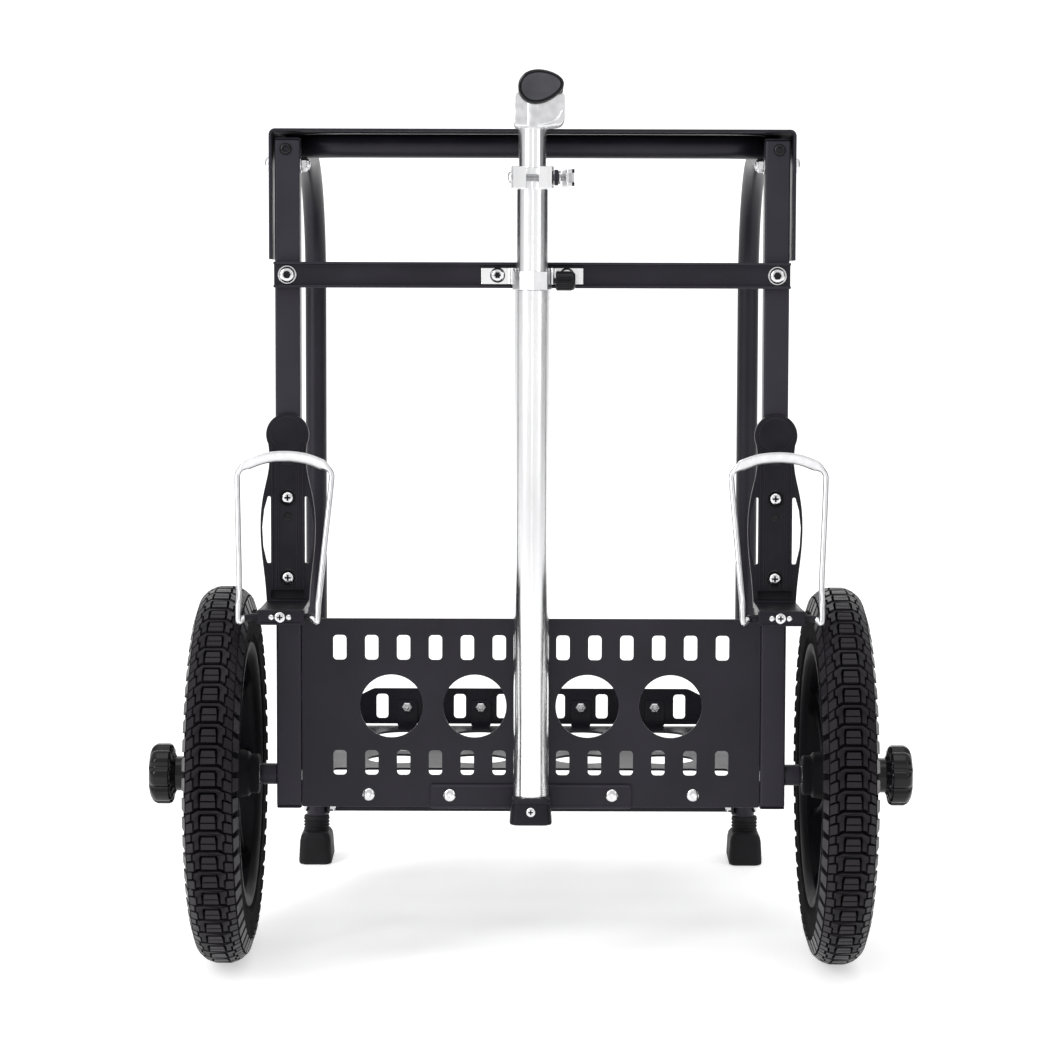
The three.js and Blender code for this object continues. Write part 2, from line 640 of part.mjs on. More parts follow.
function spoke(angle) {
  const steps = 3;
  const inner = HUB_RADIUS - 3;
  const outer = BEAD_RADIUS - 6;
  const near = [];
  const far = [];
  for (let k = 0; k <= steps; k += 1) {
    const radius = inner + ((outer - inner) * k) / steps;
    const bow = SPOKE.bow * Math.sin((Math.PI / 2) * (k / steps));
    const x = radius * Math.cos(angle + bow);
    const y = radius * Math.sin(angle + bow);
    const normal = [-Math.sin(angle + bow) * SPOKE.halfWidth, Math.cos(angle + bow) * SPOKE.halfWidth];
    near.push([x - normal[0], y - normal[1]]);
    far.unshift([x + normal[0], y + normal[1]]);
  }
  return upright(outline([...near, ...far]), -SPOKE.halfDepth, SPOKE.halfDepth);
}

function rimGeometry() {
  const inside = BEAD_RADIUS - RIM_DEPTH;
  const half = [
    [inside, RIM_WELL], [BEAD_RADIUS - 3, RIM_FLANGE], [BEAD_RADIUS + 3, RIM_FLANGE],
    [BEAD_RADIUS - GAP, RIM_WELL],
  ];
  const otherHalf = half.map(([radius, across]) => [radius, -across]);
  const ring = turned([...otherHalf, ...half.reverse(), otherHalf[0]], WHEEL_ROUND);
  const hub = alongZ(rod(HUB_RADIUS, -HUB_WIDTH / 2, HUB_WIDTH / 2, ROUND));
  const spokes = [];
  for (let pair = 0; pair < SPOKE_PAIRS; pair += 1) {
    const angle = (2 * Math.PI * pair) / SPOKE_PAIRS;
    spokes.push(spoke(angle - SPOKE.spread), spoke(angle + SPOKE.spread));
  }
  const bore = alongZ(rod(BUSH_RADIUS + GAP, -HUB_WIDTH, HUB_WIDTH, ROUND));
  return cut(join(alongZ(ring), hub, ...spokes), bore).rotateY(Math.PI / 2);
}

function knobProfile(start) {
  const head = KNOB_END_X - KNOB_HEAD_LENGTH;
  return [
    [0, start], [KNOB_NECK, start], [KNOB_NECK, head - 1], [KNOB_RADIUS - 2, head], [KNOB_RADIUS, head + 3],
    [KNOB_RADIUS, KNOB_END_X - 4], [KNOB_RADIUS - 3, KNOB_END_X - 1], [KNOB_RADIUS / 2, KNOB_END_X],
    [0, KNOB_END_X],
  ];
}

function buildWheel({ name, sign }) {
  const postFace = POST_X + POST_HALF;
  const hubInside = WHEEL_X - HUB_WIDTH / 2;
  const hubOutside = WHEEL_X + HUB_WIDTH / 2;
  const place = (geometry) => onSide(geometry.rotateX(LEAN * sign), sign).translate(0, 0, WHEEL_RADIUS);

  const tyre = alongX(turned(tyreProfile(), WHEEL_ROUND)).translate(WHEEL_X, 0, 0);
  add(`tyre_${name}`, place(tyre), tyreRubber);
  add(`rim_${name}`, place(rimGeometry().translate(WHEEL_X, 0, 0)), plastic);
  const bush = alongX(tube(BUSH_RADIUS, AXLE_RADIUS + GAP, hubInside + GAP, hubOutside - GAP, ROUND));
  add(`wheel_bush_${name}`, place(bush), steel);
  const axle = alongX(rod(AXLE_RADIUS, POST_X - POST_HALF + 1, AXLE_END, ROUND));
  add(`axle_${name}`, place(axle), steel);
  const spacer = alongX(tube(SPACER_RADIUS, AXLE_RADIUS + GAP, postFace + GAP, hubInside - GAP, ROUND));
  add(`axle_spacer_${name}`, place(spacer), powderCoat);
  const socket = alongX(rod(AXLE_RADIUS + GAP, hubOutside - 1, AXLE_END + 1, ROUND));
  const knob = cut(alongX(turned(knobProfile(hubOutside + GAP), ROUND)), socket);
  add(`wheel_knob_${name}`, place(knob), glossPlastic);
}

SIDES.forEach(buildWheel);

// ---------- back plate, shelf and lip ----------

function slotColumns(y, width, height) {
  const slots = [];
  for (let column = -6; column <= 6; column += 1) {
    slots.push(slot(column * SLOT_PITCH, y, width, height));
  }
  return slots;
}

const plateShape = outline([
  [-PLATE_HALF_WIDTH, PLATE_BOTTOM], [PLATE_HALF_WIDTH, PLATE_BOTTOM],
  [PLATE_HALF_WIDTH, PLATE_TOP], [-PLATE_HALF_WIDTH, PLATE_TOP],
]);
plateShape.holes.push(...SLOT_ROWS_Z.flatMap((z) => slotColumns(z, SLOT_WIDTH, SLOT_HEIGHT)));
plateShape.holes.push(...HOLES_X.map((x) => circle(x, HOLES_Z, HOLE_RADIUS)));
const plateReturns = SIDES.map(({ sign }) => {
  const outside = sign * PLATE_HALF_WIDTH;
  const inside = sign * (PLATE_HALF_WIDTH - SHEET);
  const lowX = Math.min(outside, inside);
  return block(lowX, lowX + SHEET, PLATE_FRONT_Y + 1, PLATE_FRONT_Y + PLATE_RETURN, SHELF_TOP + 2, PLATE_TOP);
});
const plateSheet = facing(plateShape, PLATE_FRONT_Y, PLATE_FRONT_Y + SHEET, 8);
add("back_plate", join(plateSheet, ...plateReturns), powderCoat);

const shelfShape = outline([
  [-SHELF_HALF_WIDTH, SHELF_BACK_Y], [SHELF_HALF_WIDTH, SHELF_BACK_Y],
  [SHELF_HALF_WIDTH, SHELF_FRONT_Y], [-SHELF_HALF_WIDTH, SHELF_FRONT_Y],
]);
shelfShape.holes.push(...slotColumns(SHELF_SLOT_Y, SLOT_PITCH - 8, SHELF_SLOT_LENGTH));
shelfShape.holes.push(...SHELF_HOLE_ROWS_Y.flatMap((y) => HOLES_X.map((x) => circle(x, y, HOLE_RADIUS))));
const shelfBottom = SHELF_TOP - SHELF_FLANGE;
const shelfSides = SIDES.map(({ sign }) => {
  const lowX = sign < 0 ? -SHELF_HALF_WIDTH : SHELF_HALF_WIDTH - SHEET;
  return block(lowX, lowX + SHEET, SHELF_BACK_Y, LEG_Y + 8, shelfBottom, SHELF_TOP);
});
const shelfTabs = HOLES_X.map((x) =>
  block(x - TAB_WIDTH / 2, x + TAB_WIDTH / 2, SHELF_FRONT_Y - SHEET, SHELF_FRONT_Y, SHELF_TOP - 1, TAB_TOP),
);
add(
  "shelf",
  join(
    upright(shelfShape, SHELF_TOP - SHEET, SHELF_TOP, 6),
    block(-SHELF_HALF_WIDTH, SHELF_HALF_WIDTH, SHELF_BACK_Y, SHELF_BACK_Y + SHEET, shelfBottom, SHELF_TOP),
    ...shelfSides,
    ...shelfTabs,
  ),
  powderCoat,
);

const lipShape = outline([
  [-LIP_HALF_WIDTH, LIP_BOTTOM], [LIP_HALF_WIDTH, LIP_BOTTOM], [LIP_HALF_WIDTH, LIP_END_TOP],
  [LIP_SLOPE_X + 8, LIP_TOP], [-LIP_SLOPE_X - 8, LIP_TOP], [-LIP_HALF_WIDTH, LIP_END_TOP],
]);
const LIP_SLOTS_X = [-LIP_SLOPE_X, -64.5, -25.6, 25.6, 64.5, LIP_SLOPE_X];
const LIP_SLOT_Z = (LIP_BOTTOM + LIP_TOP) / 2;
const LIP_SLOT_HEIGHT = SLOT_HEIGHT + 2;
lipShape.holes.push(...LIP_SLOTS_X.map((x) => slot(x, LIP_SLOT_Z, SLOT_WIDTH, LIP_SLOT_HEIGHT)));
add("shelf_lip", facing(lipShape, SHELF_FRONT_Y + GAP, SHELF_FRONT_Y + GAP + SHEET), powderCoat);

// ---------- lower cross-member and feet ----------

const CROSS_EAR_Y = CROSS_Y - 18;
const CROSS_INSIDE = CROSS_HALF_WIDTH - SHEET;
const crossShape = outline([
  [-CROSS_HALF_WIDTH, CROSS_EAR_Y], [-CROSS_INSIDE, CROSS_EAR_Y], [-CROSS_INSIDE, CROSS_Y - SHEET],
  [CROSS_INSIDE, CROSS_Y - SHEET], [CROSS_INSIDE, CROSS_EAR_Y], [CROSS_HALF_WIDTH, CROSS_EAR_Y],
  [CROSS_HALF_WIDTH, CROSS_Y], [-CROSS_HALF_WIDTH, CROSS_Y],
]);
add("lower_cross_member", upright(crossShape, CROSS_BOTTOM, CROSS_TOP), powderCoat);

// Height of the ground, in the cart's own frame, at a distance y in front of the axle.
function groundAt(y) {
  return WHEEL_RADIUS + (y * Math.sin(LEAN) - WHEEL_RADIUS) / Math.cos(LEAN);
}

const FOOT_HALF_WIDTH = 15;
const FOOT_HALF_DEPTH = 24;
const FOOT_BLOCK_TOP = 49;
const FOOT_SLEEVE_TOP = 62;
const FOOT_SLEEVE_RADIUS = 11.8;
const FOOT_CHAMFER = 3;
SIDES.forEach(({ name, sign }) => {
  const x = sign * LEG_X;
  const backY = LEG_Y - FOOT_HALF_DEPTH;
  const frontY = LEG_Y + FOOT_HALF_DEPTH;
  const sole = outline([
    [backY, groundAt(backY)], [frontY, groundAt(frontY)], [frontY, FOOT_BLOCK_TOP - FOOT_CHAMFER],
    [frontY - FOOT_CHAMFER, FOOT_BLOCK_TOP], [backY + FOOT_CHAMFER, FOOT_BLOCK_TOP],
    [backY, FOOT_BLOCK_TOP - FOOT_CHAMFER],
  ]);
  const legCentre = (geometry) => alongZ(geometry).translate(x, LEG_Y, 0);
  const boot = join(
    sideways(sole, x - FOOT_HALF_WIDTH, x + FOOT_HALF_WIDTH),
    legCentre(rod(FOOT_SLEEVE_RADIUS, FOOT_BLOCK_TOP - 1, FOOT_SLEEVE_TOP, ROUND)),
  );
  const socket = legCentre(rod(LOOP_RADIUS + 0.5, LEG_BOTTOM - GAP, FOOT_SLEEVE_TOP + 1, ROUND));
  add(`foot_${name}`, cut(boot, socket), rubber);
});

// ---------- handle base ----------

const STRIP = { halfWidth: 81, bottom: 126, top: 146, backY: PLATE_FRONT_Y - GAP, depth: 2.5 };
const CUP = { bottomHalf: 17, topHalf: 15.6, bottom: 119, top: 141, frontY: POLE_Y - 17.5, floor: 127.2 };
const stripShape = outline([
  [-STRIP.halfWidth, STRIP.bottom], [STRIP.halfWidth, STRIP.bottom],
  [STRIP.halfWidth, STRIP.top], [-STRIP.halfWidth, STRIP.top],
]);
const stripFrontY = STRIP.backY - STRIP.depth;
add("base_bracket", facing(stripShape, stripFrontY, STRIP.backY), powderCoat);
const cupShape = outline([
  [-CUP.bottomHalf, CUP.bottom], [CUP.bottomHalf, CUP.bottom],
  [CUP.topHalf, CUP.top], [-CUP.topHalf, CUP.top],
]);
const cupBore = onPole(rod(LOWER_POLE.radius + GAP, CUP.floor, CUP.top + 1, ROUND));
add("base_cup", cut(facing(cupShape, CUP.frontY, stripFrontY - GAP), cupBore), plastic);

// ---------- bottle cages ----------

function cageOutline() {
  const { z, radius, neckX, neckZ, open } = CAGE_DISC;
  const shape = new THREE.Shape();
  shape.moveTo(-CAGE_FOOT, CAGE_BOTTOM);
  shape.lineTo(CAGE_FOOT, CAGE_BOTTOM);
  shape.bezierCurveTo(CAGE_FOOT + 1, 318, CAGE_WAIST, 330, CAGE_WAIST, CAGE_WAIST_Z);
  shape.bezierCurveTo(CAGE_WAIST, 384, neckX - 0.6, 392, neckX, neckZ);
  shape.absarc(0, z, radius, -open, Math.PI + open, false);
  shape.bezierCurveTo(0.6 - neckX, 392, -CAGE_WAIST, 384, -CAGE_WAIST, CAGE_WAIST_Z);
  shape.bezierCurveTo(-CAGE_WAIST, 330, -CAGE_FOOT - 1, 318, -CAGE_FOOT, CAGE_BOTTOM);
  return shape;
}

// The long windows beside the cage's spine.
function cageWindow(sign) {
  const points = [[13.5, 325], [16.5, 325], [20, 340], [20.4, 356], [18.6, 368], [15.4, 378], [13.5, 378]];
  return facing(outline(points.map(([x, z]) => [sign * x, z])), -POST_SIDE, 0);
}

function buildCage({ name, sign }) {
  const x = sign * POST_X;
  const backY = -POST_HALF - GAP;
  const plateY = backY - CAGE_PLATE;
  const body = join(
    facing(cageOutline(), plateY, backY, 5),
    block(-CAGE_FOOT, CAGE_FOOT, CAGE_HINGE_Y, plateY + 1, CAGE_BOTTOM, CAGE_SHELF_TOP),
    block(
      -HINGE_X, HINGE_X, CAGE_HINGE_Y - HINGE_REACH, CAGE_HINGE_Y + HINGE_REACH, HINGE_BOTTOM, CAGE_SHELF_TOP,
    ),
  );
  const bores = [
    alongX(rod(HOOP_WIRE + 0.5, -HINGE_X - 1, HINGE_X + 1)).translate(0, CAGE_HINGE_Y, CAGE_HINGE_Z),
    ...CAGE_SCREWS_Z.map((z) => holeFacing(0, z, SCREW_HOLE, -POST_SIDE, 0)),
    ...SIDES.map((side) => cageWindow(side.sign)),
  ];
  add(`cage_back_${name}`, cut(body, ...bores).translate(x, 0, 0), plastic);

  const levels = ["lower", "upper"];
  CAGE_SCREWS_Z.forEach((z, index) => {
    const { head, height, length } = CAGE_SCREW;
    const screw = screwFacing(x, plateY - GAP, z, head, height, SCREW_SHANK, length);
    add(`cage_screw_${levels[index]}_${name}`, screw, steel);
  });

  const { x: shoulderX, y: shoulderY, z: shoulderZ } = HOOP_SHOULDER;
  const half = [
    at(11, CAGE_HINGE_Y, CAGE_HINGE_Z), at(HOOP_FOOT_X - 2.5, CAGE_HINGE_Y, CAGE_HINGE_Z),
    at(HOOP_FOOT_X, CAGE_HINGE_Y + 0.6, CAGE_HINGE_Z + 3), at(shoulderX, shoulderY, shoulderZ - 4),
    at(shoulderX - 2, shoulderY - 0.5, shoulderZ + 1.5), at(28, shoulderY - 2, HOOP_CROWN_Z - 7),
    at(15, shoulderY - 3, HOOP_CROWN_Z - 2),
  ];
  const mirrored = half.map((point) => at(-point.x, point.y, point.z));
  const route = [...mirrored, at(0, shoulderY - 3, HOOP_CROWN_Z), ...half.slice().reverse()];
  add(`cage_hoop_${name}`, sweep(route, HOOP_WIRE, 0, 4).translate(x, 0, 0), aluminium);
}

SIDES.forEach(buildCage);

// ---------- standing position ----------

const standing = new THREE.Group();
cart.position.set(0, 0, -WHEEL_RADIUS);
const leaning = new THREE.Group();
leaning.add(cart);
leaning.rotation.x = -LEAN;
standing.add(leaning);
standing.updateMatrixWorld(true);
const box = new THREE.Box3().setFromObject(standing, true);
leaning.position.set(-(box.min.x + box.max.x) / 2, -(box.min.y + box.max.y) / 2, -box.min.z);

export default standing;
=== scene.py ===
"""Visual model of a two-wheeled push cart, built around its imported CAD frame.

Every piece is drawn in millimetres in the cart's own upright frame: posts vertical, ground under
the wheels at z = 0, handle side towards -Y. STAND then leans it forward and puts it on its feet.
"""

import json
import math

import bmesh
import bpy
from mathutils import Matrix, Vector


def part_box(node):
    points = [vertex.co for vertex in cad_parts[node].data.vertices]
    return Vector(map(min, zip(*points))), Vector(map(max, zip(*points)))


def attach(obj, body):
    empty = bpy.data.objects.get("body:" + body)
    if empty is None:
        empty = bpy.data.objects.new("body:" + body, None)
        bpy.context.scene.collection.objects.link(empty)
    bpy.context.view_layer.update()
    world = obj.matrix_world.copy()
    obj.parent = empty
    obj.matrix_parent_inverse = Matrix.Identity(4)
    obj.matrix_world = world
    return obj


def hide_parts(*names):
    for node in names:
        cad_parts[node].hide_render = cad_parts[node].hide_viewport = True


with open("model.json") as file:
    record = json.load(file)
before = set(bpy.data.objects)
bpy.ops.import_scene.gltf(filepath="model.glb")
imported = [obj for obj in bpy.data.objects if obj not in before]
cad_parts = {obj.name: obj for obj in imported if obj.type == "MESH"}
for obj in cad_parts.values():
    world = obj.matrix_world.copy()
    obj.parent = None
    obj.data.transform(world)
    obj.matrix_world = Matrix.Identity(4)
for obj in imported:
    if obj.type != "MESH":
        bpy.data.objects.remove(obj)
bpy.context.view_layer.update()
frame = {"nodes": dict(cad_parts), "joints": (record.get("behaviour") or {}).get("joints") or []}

# ---------- the cart's own frame ----------

MM = 0.001
TURN = 2 * math.pi
SLIDE = next(joint for joint in frame["joints"] if joint["name"] == "handle_middle_slide")
LEAN = math.atan2(SLIDE["axis"][1], SLIDE["axis"][2])
AXLE_LOW, AXLE_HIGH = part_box("axle_left")
AXLE_CENTRE = (AXLE_LOW + AXLE_HIGH) / 2
WHEEL_RADIUS = AXLE_CENTRE.z / MM
LEANING = Matrix.Rotation(-LEAN, 4, "X")
STAND = (
    Matrix.Translation((0, AXLE_CENTRE.y, AXLE_CENTRE.z))
    @ LEANING
    @ Matrix.Translation((0, 0, -AXLE_CENTRE.z))
    @ Matrix.Scale(MM, 4)
)
INTO_CART = STAND.inverted()
SIDES = (("left", -1), ("right", 1))


def cart_box(node):
    """Lowest and highest corner of a CAD node in the cart's own frame, in millimetres."""
    points = [INTO_CART @ vertex.co for vertex in frame["nodes"][node].data.vertices]
    low = Vector(min(point[i] for point in points) for i in range(3))
    high = Vector(max(point[i] for point in points) for i in range(3))
    return low, high


def middle(node):
    """Centre of a CAD node's box in the cart's own frame."""
    low, high = cart_box(node)
    return (low + high) / 2


def ground_at(y):
    """Height of the ground, in the cart's own frame, at a distance y in front of the axle."""
    return WHEEL_RADIUS + (y * math.sin(LEAN) - WHEEL_RADIUS) / math.cos(LEAN)


# ---------- finishes ----------

SHARP_ANGLE = 32


def add_node(tree, kind, **values):
    node = tree.nodes.new(kind)
    for name, value in values.items():
        if name in node.inputs:
            node.inputs[name].default_value = value
        else:
            setattr(node, name, value)
    return node


def noise_on(tree, source, stretch, scale, detail=3.0, roughness=0.5):
    """A noise value over object coordinates in metres, stretched along the axes."""
    mapping = add_node(tree, "ShaderNodeMapping", Scale=stretch)
    tree.links.new(source, mapping.inputs["Vector"])
    noise = add_node(tree, "ShaderNodeTexNoise", Scale=scale, Detail=detail, Roughness=roughness)
    tree.links.new(mapping.outputs["Vector"], noise.inputs["Vector"])
    return noise.outputs["Fac"]


def remap(tree, value, low, high, from_low=0.3, from_high=0.7):
    node = tree.nodes.new("ShaderNodeMapRange")
    node.inputs["From Min"].default_value = from_low
    node.inputs["From Max"].default_value = from_high
    node.inputs["To Min"].default_value = low
    node.inputs["To Max"].default_value = high
    tree.links.new(value, node.inputs["Value"])
    return node.outputs["Result"]


def blend_colours(tree, factor, first, second):
    node = tree.nodes.new("ShaderNodeMix")
    node.data_type = "RGBA"
    tree.links.new(factor, node.inputs["Factor"])
    for socket, colour in zip([s for s in node.inputs if s.type == "RGBA"], (first, second)):
        if isinstance(colour, tuple):
            socket.default_value = (*colour, 1)
        else:
            tree.links.new(colour, socket)
    return next(s for s in node.outputs if s.type == "RGBA")


def finish(name, dark, light, rough, bump, grain, patches=(1, 1, 1), patch_scale=30, edge_highlight=None,
           streak=None, **surface):
    """A procedural finish.

    dark and light are the colours it varies between, rough is its roughness range, bump is
    (depth in metres, strength), grain is (scale, detail) of its texture, edge_highlight, the edge
    colour, is a painted highlight laid on sharp edges, streak stretches the grain along the axes, and
    surface sets constant sockets.
    """
    material = bpy.data.materials.new(name)
    material.use_nodes = True
    tree = material.node_tree
    shader = tree.nodes["Principled BSDF"]
    for socket, value in surface.items():
        shader.inputs[socket.replace("_", " ")].default_value = value
    place = tree.nodes.new("ShaderNodeTexCoord").outputs["Object"]
    broad = noise_on(tree, place, patches, patch_scale)
    fine = noise_on(tree, place, streak or (1, 1, 1), grain[0], grain[1], 0.6)
    colour = blend_colours(tree, remap(tree, broad, 0, 1), dark, light)
    # Painted highlight: pointiness picks out sharp edges, and these are lightened towards the edge colour to
    # stand in for light catching them.
    if edge_highlight:
        point = tree.nodes.new("ShaderNodeNewGeometry").outputs["Pointiness"]
        edge = remap(tree, point, 0, 0.5, 0.53, 0.62)
        colour = blend_colours(tree, edge, colour, edge_highlight)
    tree.links.new(colour, shader.inputs["Base Color"])
    mixed = tree.nodes.new("ShaderNodeMath")
    mixed.operation = "MULTIPLY_ADD"
    tree.links.new(fine, mixed.inputs[0])
    mixed.inputs[1].default_value = 0.5
    tree.links.new(remap(tree, broad, 0, 0.5, 0.25, 0.75), mixed.inputs[2])
    tree.links.new(remap(tree, mixed.outputs["Value"], *rough), shader.inputs["Roughness"])
    relief = add_node(tree, "ShaderNodeBump", Strength=bump[1], Distance=bump[0])
    tree.links.new(fine, relief.inputs["Height"])
    tree.links.new(relief.outputs["Normal"], shader.inputs["Normal"])
    return material


COOL_SHEEN = (0.94, 0.92, 1.0, 1.0)
# The lighter edge colours given below are painted highlights on sharp edges.
FINISHES = {
    "black_powder_coat": finish(
        "powder_coat", (0.0070, 0.0062, 0.0092), (0.0120, 0.0110, 0.0156), (0.31, 0.40), (0.00015, 0.45),
        (1300, 3), patch_scale=24, edge_highlight=(0.042, 0.039, 0.052), Specular_IOR_Level=0.27,
        Specular_Tint=COOL_SHEEN),
    "bright_aluminium": finish(
        "drawn_aluminium", (0.86, 0.86, 0.87), (0.95, 0.95, 0.955), (0.16, 0.30), (0.00004, 0.10),
        (1500, 4), patches=(1, 1, 0.15), patch_scale=40, streak=(1, 1, 0.012), Metallic=1.0),
    "satin_aluminium": finish(
        "satin_aluminium", (0.62, 0.62, 0.635), (0.74, 0.74, 0.75), (0.28, 0.40), (0.00003, 0.10),
        (2600, 3), patch_scale=160, Metallic=1.0),
    "bright_steel": finish(
        "bright_steel", (0.62, 0.62, 0.635), (0.80, 0.80, 0.81), (0.16, 0.30), (0.00003, 0.2),
        (2500, 3), patch_scale=260, Metallic=1.0),
    "dark_steel": finish(
        "dark_steel", (0.20, 0.20, 0.21), (0.30, 0.30, 0.31), (0.25, 0.36), (0.00003, 0.15),
        (2500, 3), patch_scale=260, Metallic=1.0),
    "black_plastic": finish(
        "satin_plastic", (0.0055, 0.0050, 0.0070), (0.0095, 0.0088, 0.0120), (0.30, 0.42), (0.00006, 0.3),
        (3200, 2), patch_scale=60, edge_highlight=(0.024, 0.022, 0.030), Specular_IOR_Level=0.17,
        Specular_Tint=COOL_SHEEN),
    "cap_inlay": finish(
        "cap_inlay", (0.030, 0.030, 0.036), (0.045, 0.045, 0.053), (0.28, 0.38), (0.00005, 0.2),
        (2400, 3), patch_scale=80, Specular_IOR_Level=0.35),
    "gloss_black_plastic": finish(
        "gloss_plastic", (0.0035, 0.0035, 0.0045), (0.006, 0.006, 0.0072), (0.14, 0.22), (0.00005, 0.08),
        (420, 2), patch_scale=90, Coat_Weight=0.1, Coat_Roughness=0.08, Specular_IOR_Level=0.2),
    "rim_plastic": finish(
        "rim_plastic", (0.0030, 0.0028, 0.0036), (0.0055, 0.0052, 0.0065), (0.44, 0.6), (0.00008, 0.3),
        (2200, 3), patch_scale=35, edge_highlight=(0.018, 0.017, 0.020), Specular_IOR_Level=0.12, IOR=1.35),
    "black_rubber": finish(
        "moulded_rubber", (0.0045, 0.0042, 0.0050), (0.0090, 0.0084, 0.0100), (0.5, 0.72), (0.0001, 0.4),
        (1800, 4), patch_scale=70, edge_highlight=(0.024, 0.022, 0.026), Specular_IOR_Level=0.2),
    "tyre_rubber": finish(
        "tyre_rubber", (0.0028, 0.0023, 0.0031), (0.0065, 0.0055, 0.0072), (0.26, 0.44), (0.00012, 0.45),
        (1600, 4), patch_scale=45, edge_highlight=(0.024, 0.021, 0.026), Specular_IOR_Level=0.13),
    "sidewall_rubber": finish(
        "sidewall_rubber", (0.0026, 0.0023, 0.0028), (0.0055, 0.0048, 0.0060), (0.70, 0.88), (0.00012, 0.5),
        (1500, 4), patch_scale=45, Specular_IOR_Level=0.06, IOR=1.25),
}

# ---------- mesh helpers, all in millimetres ----------

FACE_FRONT = Matrix.Rotation(math.pi / 2, 4, "X")  # local z towards the handle side, local y up
FACE_BACK = Matrix.Rotation(math.pi, 4, "Z") @ FACE_FRONT
ALONG_X = Matrix.Rotation(math.pi / 2, 4, "Y")
SECTION_ALONG_X = Matrix.Rotation(math.pi / 2, 4, "Z") @ FACE_FRONT  # an outline in y and z


def moved(body, *steps):
    """The same mesh after the given matrices, the last one first."""
    for step in reversed(steps):
        matrix = step if isinstance(step, Matrix) else Matrix.Translation(step)
        body.transform(matrix)
    return body


def merged(*bodies):
    whole = bmesh.new()
    for body in bodies:
        mesh = bpy.data.meshes.new("part")
        bmesh.ops.recalc_face_normals(body, faces=body.faces)
        body.to_mesh(mesh)
        body.free()
        whole.from_mesh(mesh)
        bpy.data.meshes.remove(mesh)
    return whole


def loft(rings, capped=True, closed=False):
    """Skins rings of points; a ring of one point closes the end to a tip."""
    body = bmesh.new()
    rows = [[body.verts.new(point) for point in ring] for ring in rings]
    pairs = list(zip(rows, rows[1:]))
    if closed:
        pairs.append((rows[-1], rows[0]))
    for lower, upper in pairs:
        count = max(len(lower), len(upper))
        for k in range(count):
            n = (k + 1) % count
            if len(lower) == 1:
                body.faces.new((lower[0], upper[n], upper[k]))
            elif len(upper) == 1:
                body.faces.new((lower[k], lower[n], upper[0]))
            else:
                body.faces.new((lower[k], lower[n], upper[n], upper[k]))
    if capped and not closed:
        for row in (rows[0], rows[-1]):
            if len(row) > 2:
                body.faces.new(row)
    return body


def circle_ring(radius, z, sides, wobble=None):
    ring = []
    for k in range(sides):
        angle = TURN * k / sides
        reach = radius if wobble is None else radius - wobble(angle)
        ring.append(Vector((reach * math.cos(angle), reach * math.sin(angle), z)))
    return ring


def turned(profile, sides=48, flutes=None):
    """Turns a profile of (radius, z) points; flutes is (count, depth, lowest z, highest z)."""
    rings = []
    for radius, z in profile:
        if radius == 0:
            rings.append([Vector((0, 0, z))])
            continue
        wobble = None
        if flutes and flutes[2] <= z <= flutes[3]:
            def wobble(angle):
                return flutes[1] * (0.5 - 0.5 * math.cos(flutes[0] * angle)) ** 4
        rings.append(circle_ring(radius, z, sides, wobble))
    return loft(rings, capped=False)


def ring_tube(profile, sides=48):
    """Turns a closed profile that doesn't touch the axis."""
    return loft([circle_ring(radius, z, sides) for radius, z in profile], closed=True)


def soft_ends(z0, z1, edge):
    """The (inset, z) of four rings that round off both ends of a bar."""
    return (edge, z0), (0, z0 + edge), (0, z1 - edge), (edge, z1)


def rod(radius, z0, z1, edge=0.4, sides=32):
    skin = [(radius - inset, z) for inset, z in soft_ends(z0, z1, edge)]
    return turned([(0, z0), *skin, (0, z1)], sides)


def pipe(radius, bore, z0, z1, edge=0.4, sides=48):
    skin = [(radius - inset, z) for inset, z in soft_ends(z0, z1, edge)]
    return ring_tube([(bore, z0), *skin, (bore, z1)], sides)


STRAIGHT = math.pi / 2 - 0.02  # half the angle of a corner too flat to round


def corner_arc(before, here, after, radius, steps):
    """Points of the arc that rounds the corner at here, or the corner itself if it stays sharp."""
    back, ahead = before - here, after - here
    room = min(back.length, ahead.length) * 0.49
    back.normalize()
    ahead.normalize()
    half = back.angle(ahead) / 2
    if radius <= 0 or half > STRAIGHT:
        return [here]
    reach = min(radius / math.tan(half), room)
    centre = here + (back + ahead).normalized() * (reach * math.tan(half) / math.sin(half))
    first = here + back * reach - centre
    last = here + ahead * reach - centre
    whole = first.angle(last)
    arc = []
    for k in range(steps + 1):
        turn = whole * k / steps
        arc.append(centre + (first * math.sin(whole - turn) + last * math.sin(turn)) / math.sin(whole))
    return arc


def rounded(points, radius, steps=4):
    """Rounds the corners of a closed outline; radius is one number or one for each corner."""
    radii = radius if isinstance(radius, (list, tuple)) else [radius] * len(points)
    corners = [Vector(point) for point in points]
    outline = []
    for i, here in enumerate(corners):
        outline += corner_arc(corners[i - 1], here, corners[(i + 1) % len(corners)], radii[i], steps)
    return outline


def oblong(x, y, width, height, radius, steps=4):
    w, h = width / 2, height / 2
    return rounded([(x - w, y - h), (x + w, y - h), (x + w, y + h), (x - w, y + h)], radius, steps)


def disc(x, y, radius, sides=40):
    angles = [TURN * k / sides for k in range(sides)]
    return [Vector((x + radius * math.cos(angle), y + radius * math.sin(angle))) for angle in angles]


